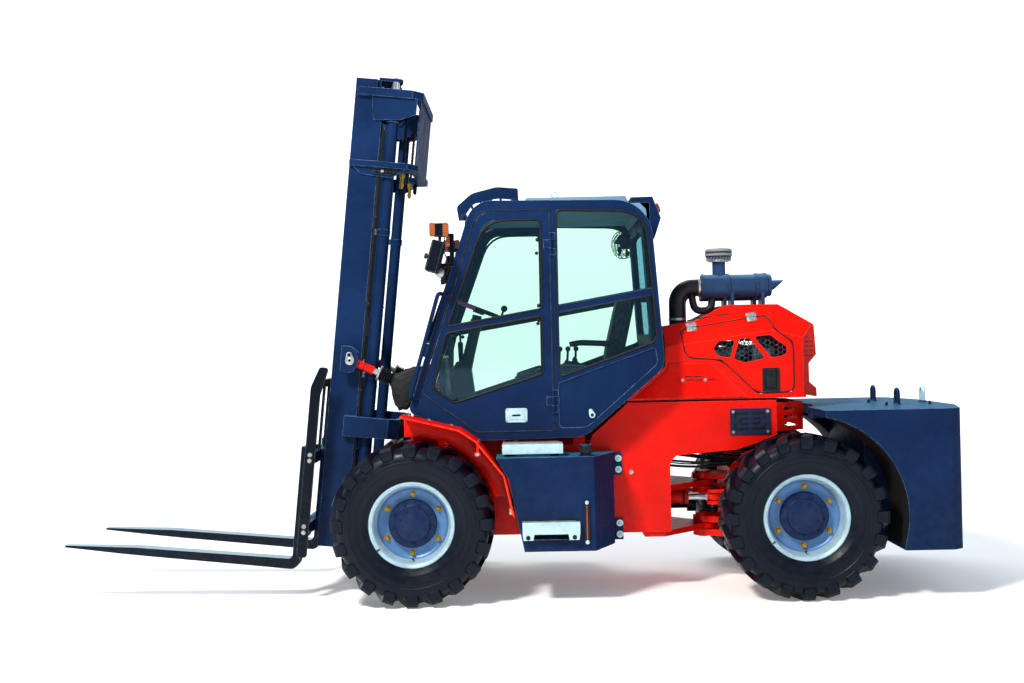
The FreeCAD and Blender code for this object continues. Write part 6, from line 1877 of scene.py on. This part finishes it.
# %% Stage, lights and camera
def floor_shade(tree, place):
    """Matt white that glows a little by itself near the machine and more beyond it, like a floor with lamps
    behind."""
    distance = add(tree, "ShaderNodeVectorMath", {0: place}, operation="LENGTH").outputs["Value"]
    glow = add(tree, "ShaderNodeMapRange", {"Value": distance, "From Min": 6.0, "From Max": 16.0,
                                            "To Min": 0.16, "To Max": 0.74}).outputs["Result"]
    return {"Base Color": linear("#f1f1f0"), "Roughness": 0.9, "Emission Color": linear("#ffffff"),
            "Emission Strength": glow}


def stage_sheet(front=100.0, back=-38.0, bend=6.0, top=60.0, half=120.0):
    """Floor and wall in one sheet: z = 0 up to the bend, a quarter circle, then straight up."""
    a = np.linspace(0, math.pi / 2, 12)[1:]
    run = [(front, 0.0), (back, 0.0)] + [(back - bend * math.sin(t), bend - bend * math.cos(t)) for t in a]
    run.append((back - bend, top))
    y, z = np.array(run).T
    x = np.linspace(-half, half, 3)
    points = np.stack([np.repeat(x[:, None], len(y), 1), np.repeat(y[None], 3, 0),
                       np.repeat(z[None], 3, 0)], -1)
    flat, faces = grid(points)
    mesh = bpy.data.meshes.new("studio_floor")
    mesh.from_pydata(flat.tolist(), [], faces[0].tolist())
    mesh.shade_smooth()
    sheet = bpy.data.objects.new("studio_floor", mesh)
    bpy.context.scene.collection.objects.link(sheet)
    mesh.materials.append(finish("matt_white_floor", floor_shade))


def lamp(name, place, aim, size, watts, tint="#ffffff"):
    data = bpy.data.lights.new(name, "AREA")
    data.size = size
    data.energy = watts
    data.color = linear(tint)[:3]
    thing = bpy.data.objects.new(name, data)
    bpy.context.scene.collection.objects.link(thing)
    w = np.asarray(place, float) - np.asarray(aim, float)
    u, v, w = basis(w)
    thing.matrix_world = Matrix([*zip(u, v, w, place), (0, 0, 0, 1)])


stage_sheet()
lamp("key", (4.0, 7.0, 9.0), (0, 0, 1.2), 1.6, 1750, "#fff6ea")
lamp("fill", (-7.5, 6.0, 4.0), (0, 0, 1.2), 5.0, 120, "#e6f0ff")
lamp("back", (1.0, -4.5, 10.0), (0, 0, 1.5), 5.0, 420)
sky = bpy.data.worlds.new("even_sky")
sky.use_nodes = True
sky.node_tree.nodes["Background"].inputs["Color"].default_value = linear("#cfe2f7")
sky.node_tree.nodes["Background"].inputs["Strength"].default_value = 0.52
bpy.context.scene.world = sky
bpy.context.scene.view_settings.view_transform = "Standard"

CAMERA_AT = metres([(-800.0, 9475.0, 1684.0)])[0]
YAW, PITCH, ROLL = math.radians(0.8), math.radians(0.28), math.radians(1.2)
view = np.array([math.sin(YAW) * math.cos(PITCH), -math.cos(YAW) * math.cos(PITCH), math.sin(PITCH)])
level = np.cross(view, (0.0, 0.0, 1.0))
level /= np.linalg.norm(level)
above = np.cross(level, view)
right = level * math.cos(ROLL) - above * math.sin(ROLL)
above = level * math.sin(ROLL) + above * math.cos(ROLL)
camera_data = bpy.data.cameras.new("camera")
camera_data.sensor_width = 36.0
camera_data.lens = 46.1
camera = bpy.data.objects.new("camera", camera_data)
bpy.context.scene.collection.objects.link(camera)
camera.matrix_world = Matrix([*zip(right, above, -view, CAMERA_AT), (0, 0, 0, 1)])
bpy.context.scene.camera = camera
